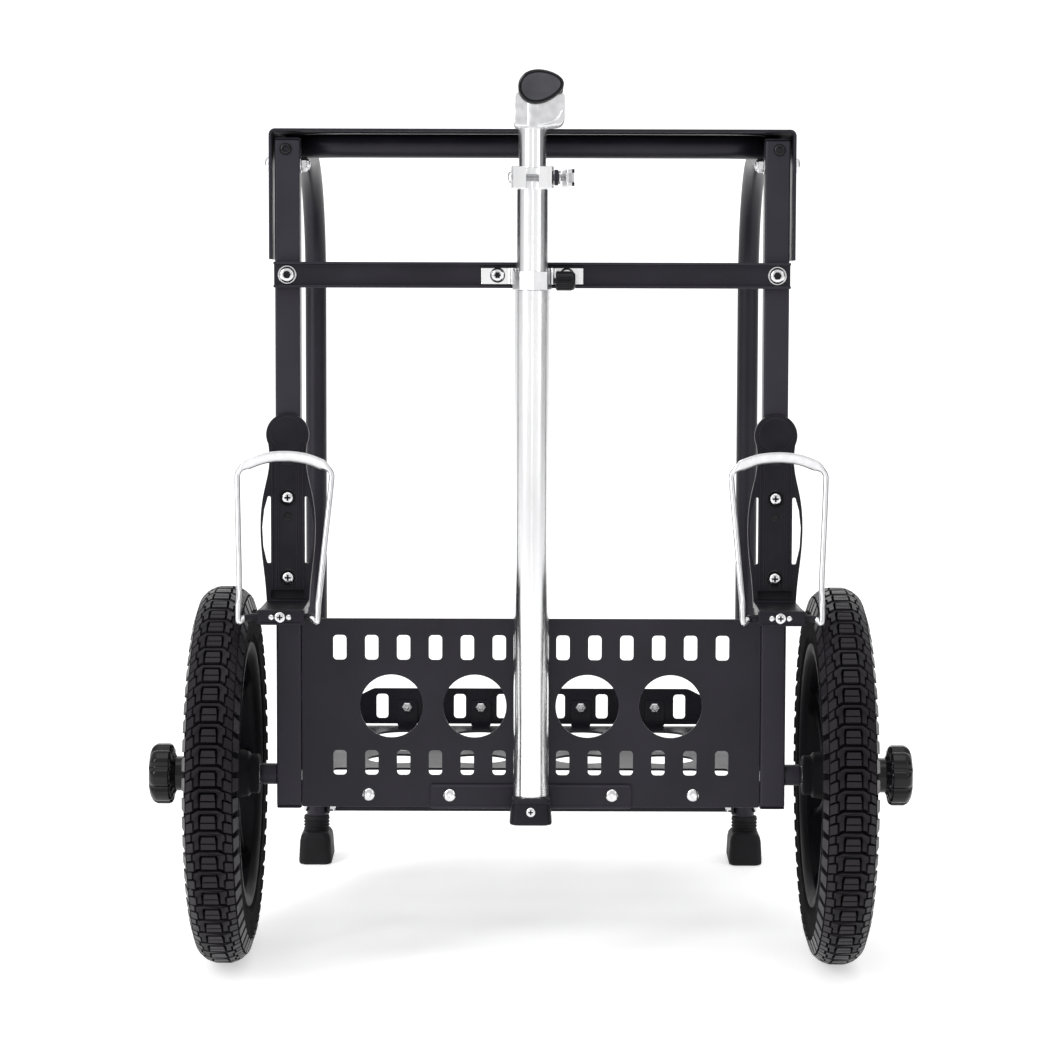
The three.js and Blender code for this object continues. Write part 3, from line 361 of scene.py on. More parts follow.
def plate(outline, holes=(), depth=2.0, edge=0.35):
    """A flat sheet with rounded edges, its outline in x and y, raised from z = 0 to depth."""
    curve = bpy.data.curves.new("plate", "CURVE")
    curve.dimensions = "2D"
    curve.fill_mode = "BOTH"
    curve.extrude = depth / 2 - edge
    curve.bevel_depth = edge
    curve.bevel_resolution = 1
    curve.offset = -edge
    for ring in (outline, *holes):
        spline = curve.splines.new("POLY")
        spline.points.add(len(ring) - 1)
        spline.use_cyclic_u = True
        for point, (x, y) in zip(spline.points, ring):
            point.co = (x, y, 0, 1)
    holder = bpy.data.objects.new("plate", curve)
    mesh = bpy.data.meshes.new_from_object(holder)
    body = bmesh.new()
    body.from_mesh(mesh)
    bmesh.ops.remove_doubles(body, verts=body.verts, dist=0.001)
    bpy.data.objects.remove(holder)
    bpy.data.curves.remove(curve)
    bpy.data.meshes.remove(mesh)
    return moved(body, (0, 0, depth / 2))


def front_sheet(outline, holes, back_y, depth, edge=0.35):
    """A sheet drawn in front view (x, z), its back at back_y and its face towards the handle side."""
    return moved(plate(outline, holes, depth, edge), (0, back_y, 0), FACE_FRONT)


def block(x0, x1, y0, y1, z0, z1, edge=0.8, segments=2):
    body = bmesh.new()
    bmesh.ops.create_cube(body, size=1)
    moved(body, ((x0 + x1) / 2, (y0 + y1) / 2, (z0 + z1) / 2),
          Matrix.Diagonal((x1 - x0, y1 - y0, z1 - z0, 1)))
    bmesh.ops.bevel(body, geom=body.edges[:], offset=edge, segments=segments, profile=0.5,
                    affect="EDGES", clamp_overlap=True)
    return body


def tangent_at(points, i):
    return (points[min(i + 1, len(points) - 1)] - points[max(i - 1, 0)]).normalized()


def swept(points, section):
    """Carries a section along an open path without twisting it."""
    rings = []
    side = None
    for i, here in enumerate(points):
        tangent = tangent_at(points, i)
        if side is None:
            guide = Vector((0, 0, 1)) if abs(tangent.z) < 0.9 else Vector((0, 1, 0))
            side = tangent.cross(guide).normalized()
        side = (side - tangent * side.dot(tangent)).normalized()
        up = side.cross(tangent)
        rings.append([here + side * u + up * v for u, v in section])
    return loft(rings)


def bent(route, steps):
    """Points along a route of (corner, bend radius), each corner rounded by its bend."""
    corners = [Vector(corner) for corner, _ in route]
    path = [corners[0]]
    for i in range(1, len(route) - 1):
        path += corner_arc(corners[i - 1], corners[i], corners[i + 1], route[i][1], steps)
    return path + [corners[-1]]


def smooth_route(points, steps=5):
    """A Catmull-Rom curve through the points."""
    points = [Vector(point) for point in points]
    route = []
    for i in range(len(points) - 1):
        a = points[max(i - 1, 0)]
        b, c = points[i], points[i + 1]
        d = points[min(i + 2, len(points) - 1)]
        for k in range(steps):
            t = k / steps
            route.append(0.5 * (2 * b + (c - a) * t + (2 * a - 5 * b + 4 * c - d) * t * t
                                + (3 * b - a - 3 * c + d) * t ** 3))
    route.append(points[-1])
    return route


def cut(body, tool):
    """Takes the tool's volume out of the body."""
    holders = []
    for name, shape in (("body", body), ("tool", tool)):
        bmesh.ops.recalc_face_normals(shape, faces=shape.faces)
        mesh = bpy.data.meshes.new(name)
        shape.to_mesh(mesh)
        shape.free()
        holder = bpy.data.objects.new(name, mesh)
        bpy.context.scene.collection.objects.link(holder)
        holders.append(holder)
    work = holders[0].modifiers.new("cut", "BOOLEAN")
    work.operation = "DIFFERENCE"
    work.solver = "EXACT"
    work.object = holders[1]
    graph = bpy.context.evaluated_depsgraph_get()
    mesh = bpy.data.meshes.new_from_object(holders[0].evaluated_get(graph))
    result = bmesh.new()
    result.from_mesh(mesh)
    bpy.data.meshes.remove(mesh)
    for holder in holders:
        mesh = holder.data
        bpy.data.objects.remove(holder)
        bpy.data.meshes.remove(mesh)
    return result


def piece(name, body, slot, rides, replaces=(), surface=None, place=STAND):
    bmesh.ops.recalc_face_normals(body, faces=body.faces)
    moved(body, place)
    mesh = bpy.data.meshes.new(name)
    body.to_mesh(mesh)
    body.free()
    mesh.shade_smooth()
    mesh.set_sharp_from_angle(angle=math.radians(SHARP_ANGLE))
    mesh.materials.append(FINISHES[surface or slot])
    made = bpy.data.objects.new(name, mesh)
    bpy.context.scene.collection.objects.link(made)
    shading = made.modifiers.new("even_shading", "WEIGHTED_NORMAL")
    shading.keep_sharp = True
    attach(made, rides)
    if replaces:
        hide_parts(*replaces)
    return made


# ---------- fasteners, drawn with the head's underside at z = 0 and facing +z ----------

HEAD_SINK = 0.5  # how far a head runs on below its seat
SOCKET_SIZE = 0.5  # of the head's radius
SOCKET_END = 1  # how far a socket's cutter passes the head at both ends
DOME_DROP = 0.45  # of the head's radius


def star_ring(radius, z, points=6, sides=36):
    return circle_ring(radius, z, sides, lambda angle: radius * 0.14 * (1 - math.cos(points * angle)))


def button_head(radius, height, drive="hex"):
    """A domed screw head with a socket through it."""
    steps = 6
    dome = [(0, -HEAD_SINK), (radius * 0.96, -HEAD_SINK), (radius, 0)]
    for k in range(steps + 1):
        angle = math.pi / 2 * k / steps
        dome.append((radius * (1 - DOME_DROP * (1 - math.cos(angle))), height * math.sin(angle)))
    head = turned(dome + [(0, height)], 36)
    size = radius * SOCKET_SIZE
    low, high = -SOCKET_END, height + SOCKET_END
    if drive == "cross":
        for quarter in range(2):
            arm = block(-size, size, -size * 0.3, size * 0.3, low, high, 0.05, 1)
            head = cut(head, moved(arm, Matrix.Rotation(TURN / 4 * quarter, 4, "Z")))
        return head
    if drive == "star":
        return cut(head, loft([star_ring(size, low), star_ring(size * 1.06, high)]))
    return cut(head, loft([circle_ring(size, low, 6), circle_ring(size * 1.04, high, 6)]))


def hex_nut(radius, height, thread):
    """A chamfered nut with the end of its bolt showing."""
    nut = cut(turned([(0, 0), (radius * 0.86, 0), (radius, height * 0.12), (radius, height * 0.8),
                      (radius * 0.84, height), (0, height)], 6),
              rod(thread + 0.3, height * 0.6, height + 1, 0.1, 24))
    collar = pipe(radius * 0.74, thread + 0.4, height * 0.9, height * 1.25, 0.3, 24)
    return merged(nut, collar, rod(thread, height * 0.5, height * 1.4, 0.5, 20))


WASHER = 0.8


def washer(radius, bore, height=WASHER):
    return pipe(radius, bore, 0, height, 0.2, 36)


def facing_handle(body, x, y, z):
    return moved(body, (x, y, z), FACE_FRONT)


def facing_side(body, x, y, z, sign):
    """Turns a fastener so that it faces +X, or -X where sign is negative."""
    turn = ALONG_X if sign > 0 else Matrix.Rotation(-math.pi / 2, 4, "Y")
    return moved(body, (x, y, z), turn)


# ---------- posts and their caps ----------

POST_EDGE = 1.8
CAP_GAP = 0.3
PLUG_INSET = 2
PLUG_DEPTH = 6
POST_SCREW_Z = 654.8
POST_SCREW_OFFSET = 1.2  # towards the outside of the post


def square_bar(x, half, z0, z1, edge=0.4):
    """A square bar with rounded corners and slightly rounded ends, centred on x."""
    rings = []
    for inset, z in soft_ends(z0, z1, edge):
        outline = oblong(x, 0, 2 * (half - inset), 2 * (half - inset), POST_EDGE)
        rings.append([Vector((point.x, point.y, z)) for point in outline])
    return loft(rings)


def post_plug(x, half, end, cap_end):
    """The plug in one end of a post: its cap and the shank inside the tube."""
    out = 1 if cap_end > end else -1
    cap = square_bar(x, half, *sorted((end + out * CAP_GAP, cap_end)), 0.6)
    shank = square_bar(x, half - PLUG_INSET, *sorted((end + out * 2 * CAP_GAP, end - out * PLUG_DEPTH)))
    return merged(cap, shank)


for side, _ in SIDES:
    low, high = cart_box(f"post_{side}")
    half = (high.x - low.x) / 2
    x = (low.x + high.x) / 2
    piece(f"post_tube_{side}", square_bar(x, half, low.z, high.z), "black_powder_coat", "frame",
          [f"post_{side}"])
    for name, end, corner in (("top", high.z, 1), ("bottom", low.z, 0)):
        plug = post_plug(x, half, end, cart_box(f"post_cap_{name}_{side}")[corner].z)
        piece(f"post_plug_{name}_{side}", plug, "black_plastic", "frame", [f"post_cap_{name}_{side}"])
for side, sign in SIDES:
    x = middle(f"post_{side}").x + sign * POST_SCREW_OFFSET
    screw = facing_handle(button_head(4.8, 2.2, "star"), x, cart_box(f"post_{side}")[0].y, POST_SCREW_Z)
    piece(f"post_screw_{side}", screw, "gloss_black_plastic", "frame")

# ---------- bent tube loop ----------

TUBE_RADIUS = 9.5
FRONT_BEND = 115
CORNER_BEND = 45
loop_low, loop_high = cart_box("frame_loop")
LEG_X = loop_high.x - TUBE_RADIUS
LEG_Y = loop_high.y - TUBE_RADIUS
REAR_Y = loop_low.y + TUBE_RADIUS
LOOP_TOP = loop_high.z - TUBE_RADIUS
loop_route = bent([
    ((-LEG_X, LEG_Y, loop_low.z), 0), ((-LEG_X, LEG_Y, LOOP_TOP), FRONT_BEND),
    ((-LEG_X, REAR_Y, LOOP_TOP), CORNER_BEND), ((LEG_X, REAR_Y, LOOP_TOP), CORNER_BEND),
    ((LEG_X, LEG_Y, LOOP_TOP), FRONT_BEND), ((LEG_X, LEG_Y, loop_low.z), 0),
], 16)
piece("bent_tube", swept(loop_route, disc(0, 0, TUBE_RADIUS, 32)), "black_powder_coat", "frame",
      ["frame_loop"])

# ---------- seat ----------

SEAT_SHEET = 2.5
SEAT_BEND = 5
seat_low, seat_high = cart_box("seat")


def folded_outline(half, top, bottom, sheet, bend):
    """A sheet with both sides folded down, seen from its end."""
    outside = rounded([(-half, bottom), (-half, top), (half, top), (half, bottom)], [0, bend, bend, 0], 6)
    inside = rounded([(half - sheet, bottom), (half - sheet, top - sheet), (sheet - half, top - sheet),
                      (sheet - half, bottom)], [0, bend - sheet, bend - sheet, 0], 6)
    return outside + inside


seat_outline = folded_outline(seat_high.x, seat_high.z, seat_low.z, SEAT_SHEET, SEAT_BEND)
seat_sheet = front_sheet(seat_outline, (), seat_high.y, seat_high.y - seat_low.y, 0.7)
piece("seat_sheet", seat_sheet, "black_powder_coat", "frame", ["seat"])
POST_INNER = cart_box("post_right")[0].x
POST_HALF = 10
for side, sign in SIDES:
    z = middle(f"seat_bolt_{side}").z
    bolt = merged(
        facing_side(button_head(6.5, 3.4), sign * (seat_high.x + CAP_GAP), 0, z, sign),
        facing_side(hex_nut(5.8, 5, 2.8), sign * (POST_INNER - WASHER), 0, z, -sign),
        facing_side(washer(7, 3), sign * POST_INNER, 0, z, -sign),
    )
    piece(f"seat_fixing_{side}", bolt, "bright_steel", "frame", [f"seat_bolt_{side}"])

# ---------- crossbar, strap bracket and lock collar ----------

SHEET = 2
bar_low, bar_high = cart_box("crossbar")
bar_section = rounded([
    (bar_high.y, bar_low.z), (bar_high.y, bar_high.z), (bar_low.y, bar_high.z),
    (bar_low.y, bar_high.z - SHEET), (bar_high.y - SHEET, bar_high.z - SHEET),
    (bar_high.y - SHEET, bar_low.z + SHEET), (bar_low.y, bar_low.z + SHEET), (bar_low.y, bar_low.z),
], [2, 2, 0.5, 0.5, 1, 1, 0.5, 0.5], 4)
bar = moved(plate(bar_section, (), bar_high.x - bar_low.x, 0.3), (bar_low.x, 0, 0), SECTION_ALONG_X)
piece("crossbar_channel", bar, "black_powder_coat", "frame", ["crossbar"])
BAR_Z = (bar_low.z + bar_high.z) / 2
web_y = bar_high.y - SHEET - CAP_GAP
for side, sign in SIDES:
    x = sign * (POST_INNER + POST_HALF)
    head = merged(washer(7.4, 3), moved(button_head(6.5, 3.6), (0, 0, WASHER)))
    head = facing_handle(head, x, web_y, BAR_Z)
    piece(f"crossbar_fixing_{side}", head, "bright_steel", "frame", [f"crossbar_bolt_{side}"])

strap_low, strap_high = cart_box("strap_bracket")
collar_low, collar_high = cart_box("lock_collar")
COLLAR_RADIUS = (collar_high.y - collar_low.y) / 2 / math.cos(math.pi / 8)
POLE_Y = (collar_high.y + collar_low.y) / 2
STRAP_SHEET = 2.2
arm_in = collar_high.x + 0.4
arm_out = arm_in + STRAP_SHEET
ear_back = strap_high.y
ear_front = ear_back - STRAP_SHEET
strap_outline = rounded([
    (strap_high.x, ear_back), (-strap_high.x, ear_back), (-strap_high.x, ear_front),
    (-arm_out, ear_front), (-arm_out, strap_low.y), (-arm_in, strap_low.y), (-arm_in, ear_front + 0.8),
    (arm_in, ear_front + 0.8), (arm_in, strap_low.y), (arm_out, strap_low.y), (arm_out, ear_front),
    (strap_high.x, ear_front),
], [1, 1, 0.6, 2.2, 0.9, 0.9, 1, 1, 0.9, 0.9, 2.2, 0.6], 4)
strap = moved(plate(strap_outline, (), strap_high.z - strap_low.z, 0.4), (0, 0, strap_low.z))
piece("handle_strap", strap, "bright_aluminium", "frame", ["strap_bracket"])
for side, sign in SIDES:
    x = middle(f"strap_screw_{side}").x
    head = facing_handle(button_head(5.3, 2.3, "star"), x, ear_front - CAP_GAP, BAR_Z)
    piece(f"strap_fixing_{side}", head, "bright_steel", "frame", [f"strap_screw_{side}"])
    ring = facing_handle(rod(6, -0.3, 0.5, 0.2, 40), x, ear_front, BAR_Z)
    piece(f"strap_ring_{side}", ring, "black_plastic", "frame")

COLLAR_TURN = math.radians(5)  # one corner points almost straight at the user
COLLAR_BORE = 13.1
collar_outline = rounded(disc(0, 0, COLLAR_RADIUS, 8), 1, 3)
collar = moved(plate(collar_outline, [disc(0, 0, COLLAR_BORE, 48)], collar_high.z - collar_low.z, 0.6),
               (0, POLE_Y, collar_low.z), Matrix.Rotation(COLLAR_TURN, 4, "Z"))
piece("collar", collar, "bright_aluminium", "frame", ["lock_collar"], "satin_aluminium")
knob_low, knob_high = cart_box("lock_knob")
lock_z = (knob_low.z + knob_high.z) / 2
KNOB_START = 18.6
KNOB_ROUND = 7.7
KNOB_FLUTES = (30, 0.45, KNOB_START + 0.5, knob_high.x - 1)
lock_knob = merged(
    turned([
        (0, KNOB_START), (6.6, KNOB_START), (KNOB_ROUND, KNOB_START + 1), (KNOB_ROUND, knob_high.x - 3.6),
        (7.2, knob_high.x - 1.8), (6.4, knob_high.x - 0.7), (5.4, knob_high.x), (4.8, knob_high.x - 0.6),
        (0, knob_high.x - 0.8),
    ], 120, KNOB_FLUTES),
    rod(2.2, knob_low.x, KNOB_START + 1, 0.3, 20),
)
piece("lock_screw_knob", moved(lock_knob, (0, POLE_Y, lock_z), ALONG_X), "gloss_black_plastic",
      "lock_knob", ["lock_knob"])

# ---------- telescopic poles ----------

SEAM_ANGLE = 3 * math.pi / 2
SEAM_DEPTH = 0.45
SEAM_HALF_WIDTH = 0.9
POLE_WALL = 1.3
POLE_EDGE = 0.4


def pole(node, sides=96):
    """A drawn tube with a fine key groove down the side that faces the user."""
    low, high = cart_box(node)
    radius = (high.x - low.x) / 2

    def notch(angle):
        off = abs(angle - SEAM_ANGLE) * radius
        return SEAM_DEPTH * max(0, 1 - off / SEAM_HALF_WIDTH)

    rings = [circle_ring(radius - POLE_WALL, low.z, sides)]
    for inset, z in soft_ends(low.z, high.z, POLE_EDGE):
        rings.append(circle_ring(radius - inset, z, sides, notch))
    rings.append(circle_ring(radius - POLE_WALL, high.z, sides))
    return moved(loft(rings, closed=True), (0, POLE_Y, 0))


piece("lower_tube", pole("pole_lower"), "bright_aluminium", "frame", ["pole_lower"])
piece("middle_tube", pole("pole_middle"), "bright_aluminium", "handle_middle", ["pole_middle"])
piece("upper_tube", pole("pole_upper"), "bright_aluminium", "handle_upper", ["pole_upper"])

# ---------- clamp ----------

clamp_low, clamp_high = cart_box("clamp_collar")
CLAMP_RADIUS = 16
CLAMP_BORE = 12.9
SLEEVE_BORE = 11.35
SPLIT = 5
EAR = clamp_high.x
EAR_DEPTH = POLE_Y - 11 - clamp_low.y
STEP_AT = 12
STEP_WIDTH = 1.3
STEP_DEPTH = 1.8


def clamp_arc(radius, gap, turn, steps=30):
    """The clamp's round part, open on the user's side by an angle of gap each way."""
    points = []
    for k in range(steps + 1):
        angle = -math.pi / 2 + turn * (gap + (TURN - 2 * gap) * k / steps)
        points.append(Vector((radius * math.cos(angle), POLE_Y + radius * math.sin(angle))))
    return points


ear_edge = [(SPLIT, 0), (STEP_AT, 0), (STEP_AT, STEP_DEPTH), (STEP_AT + STEP_WIDTH, STEP_DEPTH),
            (STEP_AT + STEP_WIDTH, 0.5), (EAR - 1.5, 0.5), (EAR, 2), (EAR, EAR_DEPTH)]
clamp_outline = [Vector((ear_x, clamp_low.y + depth)) for ear_x, depth in ear_edge]
clamp_outline += clamp_arc(CLAMP_RADIUS, math.acos(10 / CLAMP_RADIUS), 1)
clamp_outline += [Vector((-ear_x, clamp_low.y + depth)) for ear_x, depth in reversed(ear_edge)]
clamp_outline += clamp_arc(CLAMP_BORE, math.asin(SPLIT / CLAMP_BORE), -1)
sleeve = pipe(CLAMP_BORE + 0.3, SLEEVE_BORE, cart_box("pole_middle")[1].z + CAP_GAP, clamp_high.z - 0.6)
clamp_body = merged(
    moved(plate(clamp_outline, (), clamp_high.z - clamp_low.z, 0.7), (0, 0, clamp_low.z)),
    moved(sleeve, (0, POLE_Y, 0)),
)
piece("clamp_body", clamp_body, "bright_aluminium", "handle_middle", ["clamp_collar"])

BOLT_Y = middle("clamp_bolt").y
CLAMP_Z = middle("clamp_bolt").z


def on_clamp_bolt(body):
    """Turns a piece drawn about the z axis on to the clamp's bolt."""
    return moved(body, (0, BOLT_Y, CLAMP_Z), ALONG_X)


BOLT_RADIUS = 2.6
PIN_END = 25.3  # clear of the lever's web when the lever swings open
FLANGE_END = 22.1  # clear of the lever's prongs when the lever swings open
clamp_head = facing_side(button_head(4.6, 2.2), -EAR - CAP_GAP, BOLT_Y, CLAMP_Z, -1)
piece("clamp_screw", clamp_head, "bright_steel", "handle_middle", ["clamp_bolt"])
clamp_flange = on_clamp_bolt(pipe(5.2, BOLT_RADIUS + 0.1, FLANGE_END - 1.4, FLANGE_END, 0.4))
piece("clamp_flange", clamp_flange, "bright_steel", "handle_middle")
clamp_pin = on_clamp_bolt(rod(BOLT_RADIUS, -EAR, PIN_END, 0.4, 24))
piece("clamp_pin", clamp_pin, "bright_steel", "handle_middle", surface="dark_steel")
washer_low, washer_high = cart_box("clamp_washer")
cam_seat = loft([circle_ring(radius, x, 8) for radius, x in (
    (5.8, washer_low.x), (6.6, washer_low.x + 0.6), (6.6, washer_high.x - 0.9), (5.2, washer_high.x))])
cam_seat = on_clamp_bolt(moved(cam_seat, Matrix.Rotation(math.pi / 8, 4, "Z")))
piece("cam_washer", cam_seat, "black_plastic", "handle_middle", ["clamp_washer"])

lever_low, lever_high = cart_box("clamp_lever")
PRONG = 2.8
PRONG_FRONT = BOLT_Y - 3.6
PRONG_BACK = BOLT_Y + 6
FORK_START = 26.3
FORK_END = 32.6
WEB = 2.4
prong_outline = rounded([(FORK_START, PRONG_FRONT), (FORK_END, PRONG_FRONT), (FORK_END, PRONG_BACK),
                         (FORK_START, BOLT_Y + 8.5)], [1.5, 3, 0.5, 0.5], 5)
arm_outline = rounded([(24.2, BOLT_Y + 6.5), (FORK_END, BOLT_Y + 5.5), (31.8, BOLT_Y + 16),
                       (26.6, lever_high.y), (23.2, lever_high.y - 1), (26.4, BOLT_Y + 17)],
                      [0.5, 0.5, 6, 1.6, 1.2, 6], 5)
prong_levels = (lever_low.z, lever_high.z - PRONG)
web = block(FORK_START, FORK_START + WEB, BOLT_Y - 1.3, BOLT_Y + 6.8,
            lever_low.z + 0.6, lever_high.z - 0.6, 0.5)
lever = merged(
    *(moved(plate(prong_outline, (), PRONG, 0.6), (0, 0, z)) for z in prong_levels),
    moved(plate(arm_outline, (), lever_high.z - lever_low.z, 1), (0, 0, lever_low.z)),
    web,
)
pads = [block(FORK_END - 1.7, FORK_END + 0.2, PRONG_FRONT - 0.1, BOLT_Y - 1, z - 0.1, z + PRONG + 0.1, 0.4)
        for z in prong_levels]
piece("lever_pads", merged(*pads), "black_plastic", "clamp_lever")
piece("cam_lever", lever, "bright_steel", "clamp_lever", ["clamp_lever"], "satin_aluminium")

# ---------- head casting, grip and cap ----------

head_low, head_high = cart_box("head_casting")
cap_low, cap_high = cart_box("grip_cap")
GRIP_HIGH = cart_box("grip")[1]
EGG_X = 6.5
EGG_Z = 702
EGG_HALF_WIDTH = 18
EGG_HALF_HEIGHT = 13
EGG_TILT = 0.14
EGG_TAPER = 0.22


def egg(grow, y, sides=56):
    """Egg-shaped section of the grip at y, wide on the left and narrow on the right."""
    ring = []
    for k in range(sides):
        angle = TURN * k / sides
        along = (EGG_HALF_WIDTH + grow) * math.cos(angle)
        across = (EGG_HALF_HEIGHT + grow) * math.sin(angle) * (1 - EGG_TAPER * math.cos(angle))
        ring.append(Vector((EGG_X + along * math.cos(EGG_TILT) - across * math.sin(EGG_TILT), y,
                            EGG_Z + along * math.sin(EGG_TILT) + across * math.cos(EGG_TILT))))
    return ring


head_outline = rounded([
    (head_low.x, head_low.z + 1), (5, head_low.z), (head_high.x, head_low.z + 2.5),
    (head_high.x, head_high.z), (head_low.x, head_high.z),
], [3, 20, 6, 2.5, 2.5], 6)
CASTING_RIB = 13
RIB_RISE = 0.7
BEAD_RADIUS = 1.1
GRIP_LENGTHWISE = ((0.3, head_low.y - 5), (0.3, head_high.y + 5))


def without_grip(body):
    return cut(body, loft([egg(grow, y) for grow, y in GRIP_LENGTHWISE]))


casting = without_grip(front_sheet(head_outline, (), head_high.y, head_high.y - head_low.y, 1.6))
rib = rod(CASTING_RIB, head_low.z + 0.3, head_high.z - 2, 1, 64)
rib = without_grip(moved(rib, (0, head_low.y + CASTING_RIB - RIB_RISE, 0)))
bead_route = smooth_route([(5.5, head_low.y, 672.4), (12, head_low.y, 673.6), (17, head_low.y, 675.4),
                           (20.6, head_low.y, 678.2), (23.4, head_low.y + 0.6, 683)], 4)
casting = merged(casting, rib, swept(bead_route, disc(0, 0, BEAD_RADIUS, 12)))
piece("handle_casting", casting, "bright_aluminium", "handle_upper", ["head_casting"], "satin_aluminium")

GROOVES = 12
GROOVE = ((0, 0), (-0.7, 0.7), (-0.7, 1.5), (0, 2.2))  # (rise, distance from its start)
END_ROUND = 7
grip_rings = [egg(-2.4, cap_high.y + 0.3), egg(-0.4, cap_high.y + 0.3), egg(0, cap_high.y + 0.9)]
groove_start = head_high.y + 4
groove_pitch = (GRIP_HIGH.y - END_ROUND - 1 - groove_start) / GROOVES
for k in range(GROOVES):
    grip_rings += [egg(rise, groove_start + k * groove_pitch + along) for rise, along in GROOVE]
for k in range(7):
    angle = math.pi / 2 * k / 6
    rise = -END_ROUND * (1 - math.cos(angle))
    grip_rings.append(egg(rise, GRIP_HIGH.y - END_ROUND * (1 - math.sin(angle))))
piece("grip_sleeve", loft(grip_rings), "black_rubber", "handle_upper", ["grip"])

# Both profiles are (rise, distance behind the cap's front), from the rim to the middle.
CAP_RIM = ((0, 1.2), (-0.35, 0.4), (-1.1, 0), (-1.8, 0.2), (-2.4, 0.9), (-3, 2))
CAP_INLAY = ((-2.5, 2), (-2.5, 0.9), (-2.9, 0.6), (-4.5, 0.9), (-8.5, 1.4), (-12, 1.6))
cap_rings = [egg(-1, cap_high.y), egg(0, cap_high.y - 0.5)]
cap_rings += [egg(rise, cap_low.y + behind) for rise, behind in CAP_RIM]
piece("grip_end_cap", loft(cap_rings), "gloss_black_plastic", "handle_upper", ["grip_cap"])
inlay = loft([egg(rise, cap_low.y + behind) for rise, behind in CAP_INLAY])
piece("grip_cap_inlay", inlay, "gloss_black_plastic", "handle_upper", surface="cap_inlay")

# ---------- back plate ----------

plate_low, plate_high = cart_box("back_plate")
PLATE_HALF = POST_INNER - CAP_GAP
PLATE_FOLD_LOW = 150  # where the folded sides start
SLOT_PITCH = 25.67
SLOT_COLUMNS = range(-6, 7)
SLOT_WIDTH = 10.7
SLOT_HEIGHT = 20
SLOT_ROWS_Z = (163, 256.5)
HOLE_RADIUS = 25.5
HOLES_Z = 209
HOLES_X = (-112.4, -45.4, 45.4, 112.4)
plate_holes = [oblong(column * SLOT_PITCH, z, SLOT_WIDTH, SLOT_HEIGHT, 3)
               for z in SLOT_ROWS_Z for column in SLOT_COLUMNS]
plate_holes += [disc(x, HOLES_Z, HOLE_RADIUS, 56) for x in HOLES_X]
face_y = plate_low.y + SHEET
plate_outline = oblong(0, (plate_low.z + plate_high.z) / 2, 2 * PLATE_HALF, plate_high.z - plate_low.z, 1.5)


def folded_side(sign, half, y0, y1, z0, z1):
    """The edge of a sheet, turned over along one side."""
    return block(*sorted((sign * half, sign * (half - SHEET))), y0, y1, z0, z1, 0.5)


returns = [folded_side(sign, PLATE_HALF, plate_low.y + 0.4, plate_high.y, PLATE_FOLD_LOW, plate_high.z - 0.4)
           for _, sign in SIDES]
piece("perforated_back", merged(front_sheet(plate_outline, plate_holes, face_y, SHEET), *returns),
      "black_powder_coat", "frame", ["back_plate"])

strip_low, strip_high = cart_box("base_bracket")
RIVETS = ((-131, False), (-65.5, True), (65.5, True), (131, False))  # (x, on the base strip)
RIVET_Z = 137
RIVET = ((0, 0), (5, 0), (5, 0.5), (4.4, 1.2), (3.2, 1.7), (2, 1.9), (1.7, 1.2), (0, 1.2))
rivets = []
for x, on_strip in RIVETS:
    y = strip_low.y if on_strip else plate_low.y
    rivets.append(facing_handle(turned(RIVET, 32), x, y, RIVET_Z))
piece("plate_rivets", merged(*rivets), "bright_steel", "frame")

# ---------- shelf, lip and lower cross-member ----------

shelf_low, shelf_high = cart_box("shelf")
SHELF_TOP = 148
SHELF_FRONT_Y = 308
TAB_WIDTH = 18
SHELF_SLOT_Y = 42
SHELF_SLOT_LENGTH = 38
SHELF_BRIDGE = 8  # the metal left between two slots
SHELF_HOLE_ROWS_Y = (112, 182, 252)
shelf_holes = [oblong(column * SLOT_PITCH, SHELF_SLOT_Y, SLOT_PITCH - SHELF_BRIDGE, SHELF_SLOT_LENGTH, 4)
               for column in SLOT_COLUMNS]
shelf_holes += [disc(x, y, HOLE_RADIUS, 56) for y in SHELF_HOLE_ROWS_Y for x in HOLES_X]
shelf_outline = rounded([(shelf_low.x, shelf_low.y), (shelf_high.x, shelf_low.y),
                         (shelf_high.x, SHELF_FRONT_Y), (shelf_low.x, SHELF_FRONT_Y)], 1.5, 3)
shelf_parts = [
    moved(plate(shelf_outline, shelf_holes, SHEET), (0, 0, SHELF_TOP - SHEET)),
    block(shelf_low.x, shelf_high.x, shelf_low.y, shelf_low.y + SHEET, shelf_low.z, SHELF_TOP - 0.3, 0.5),
]
for _, sign in SIDES:
    shelf_parts.append(folded_side(sign, shelf_high.x, shelf_low.y, shelf_high.y, shelf_low.z,
                                   SHELF_TOP - 0.3))
for x in HOLES_X:
    tab = oblong(x, (SHELF_TOP - 1 + shelf_high.z) / 2, TAB_WIDTH, shelf_high.z - SHELF_TOP + 1, 3)
    shelf_parts.append(front_sheet(tab, (), SHELF_FRONT_Y, SHEET))
piece("perforated_shelf", merged(*shelf_parts), "black_powder_coat", "frame", ["shelf"])

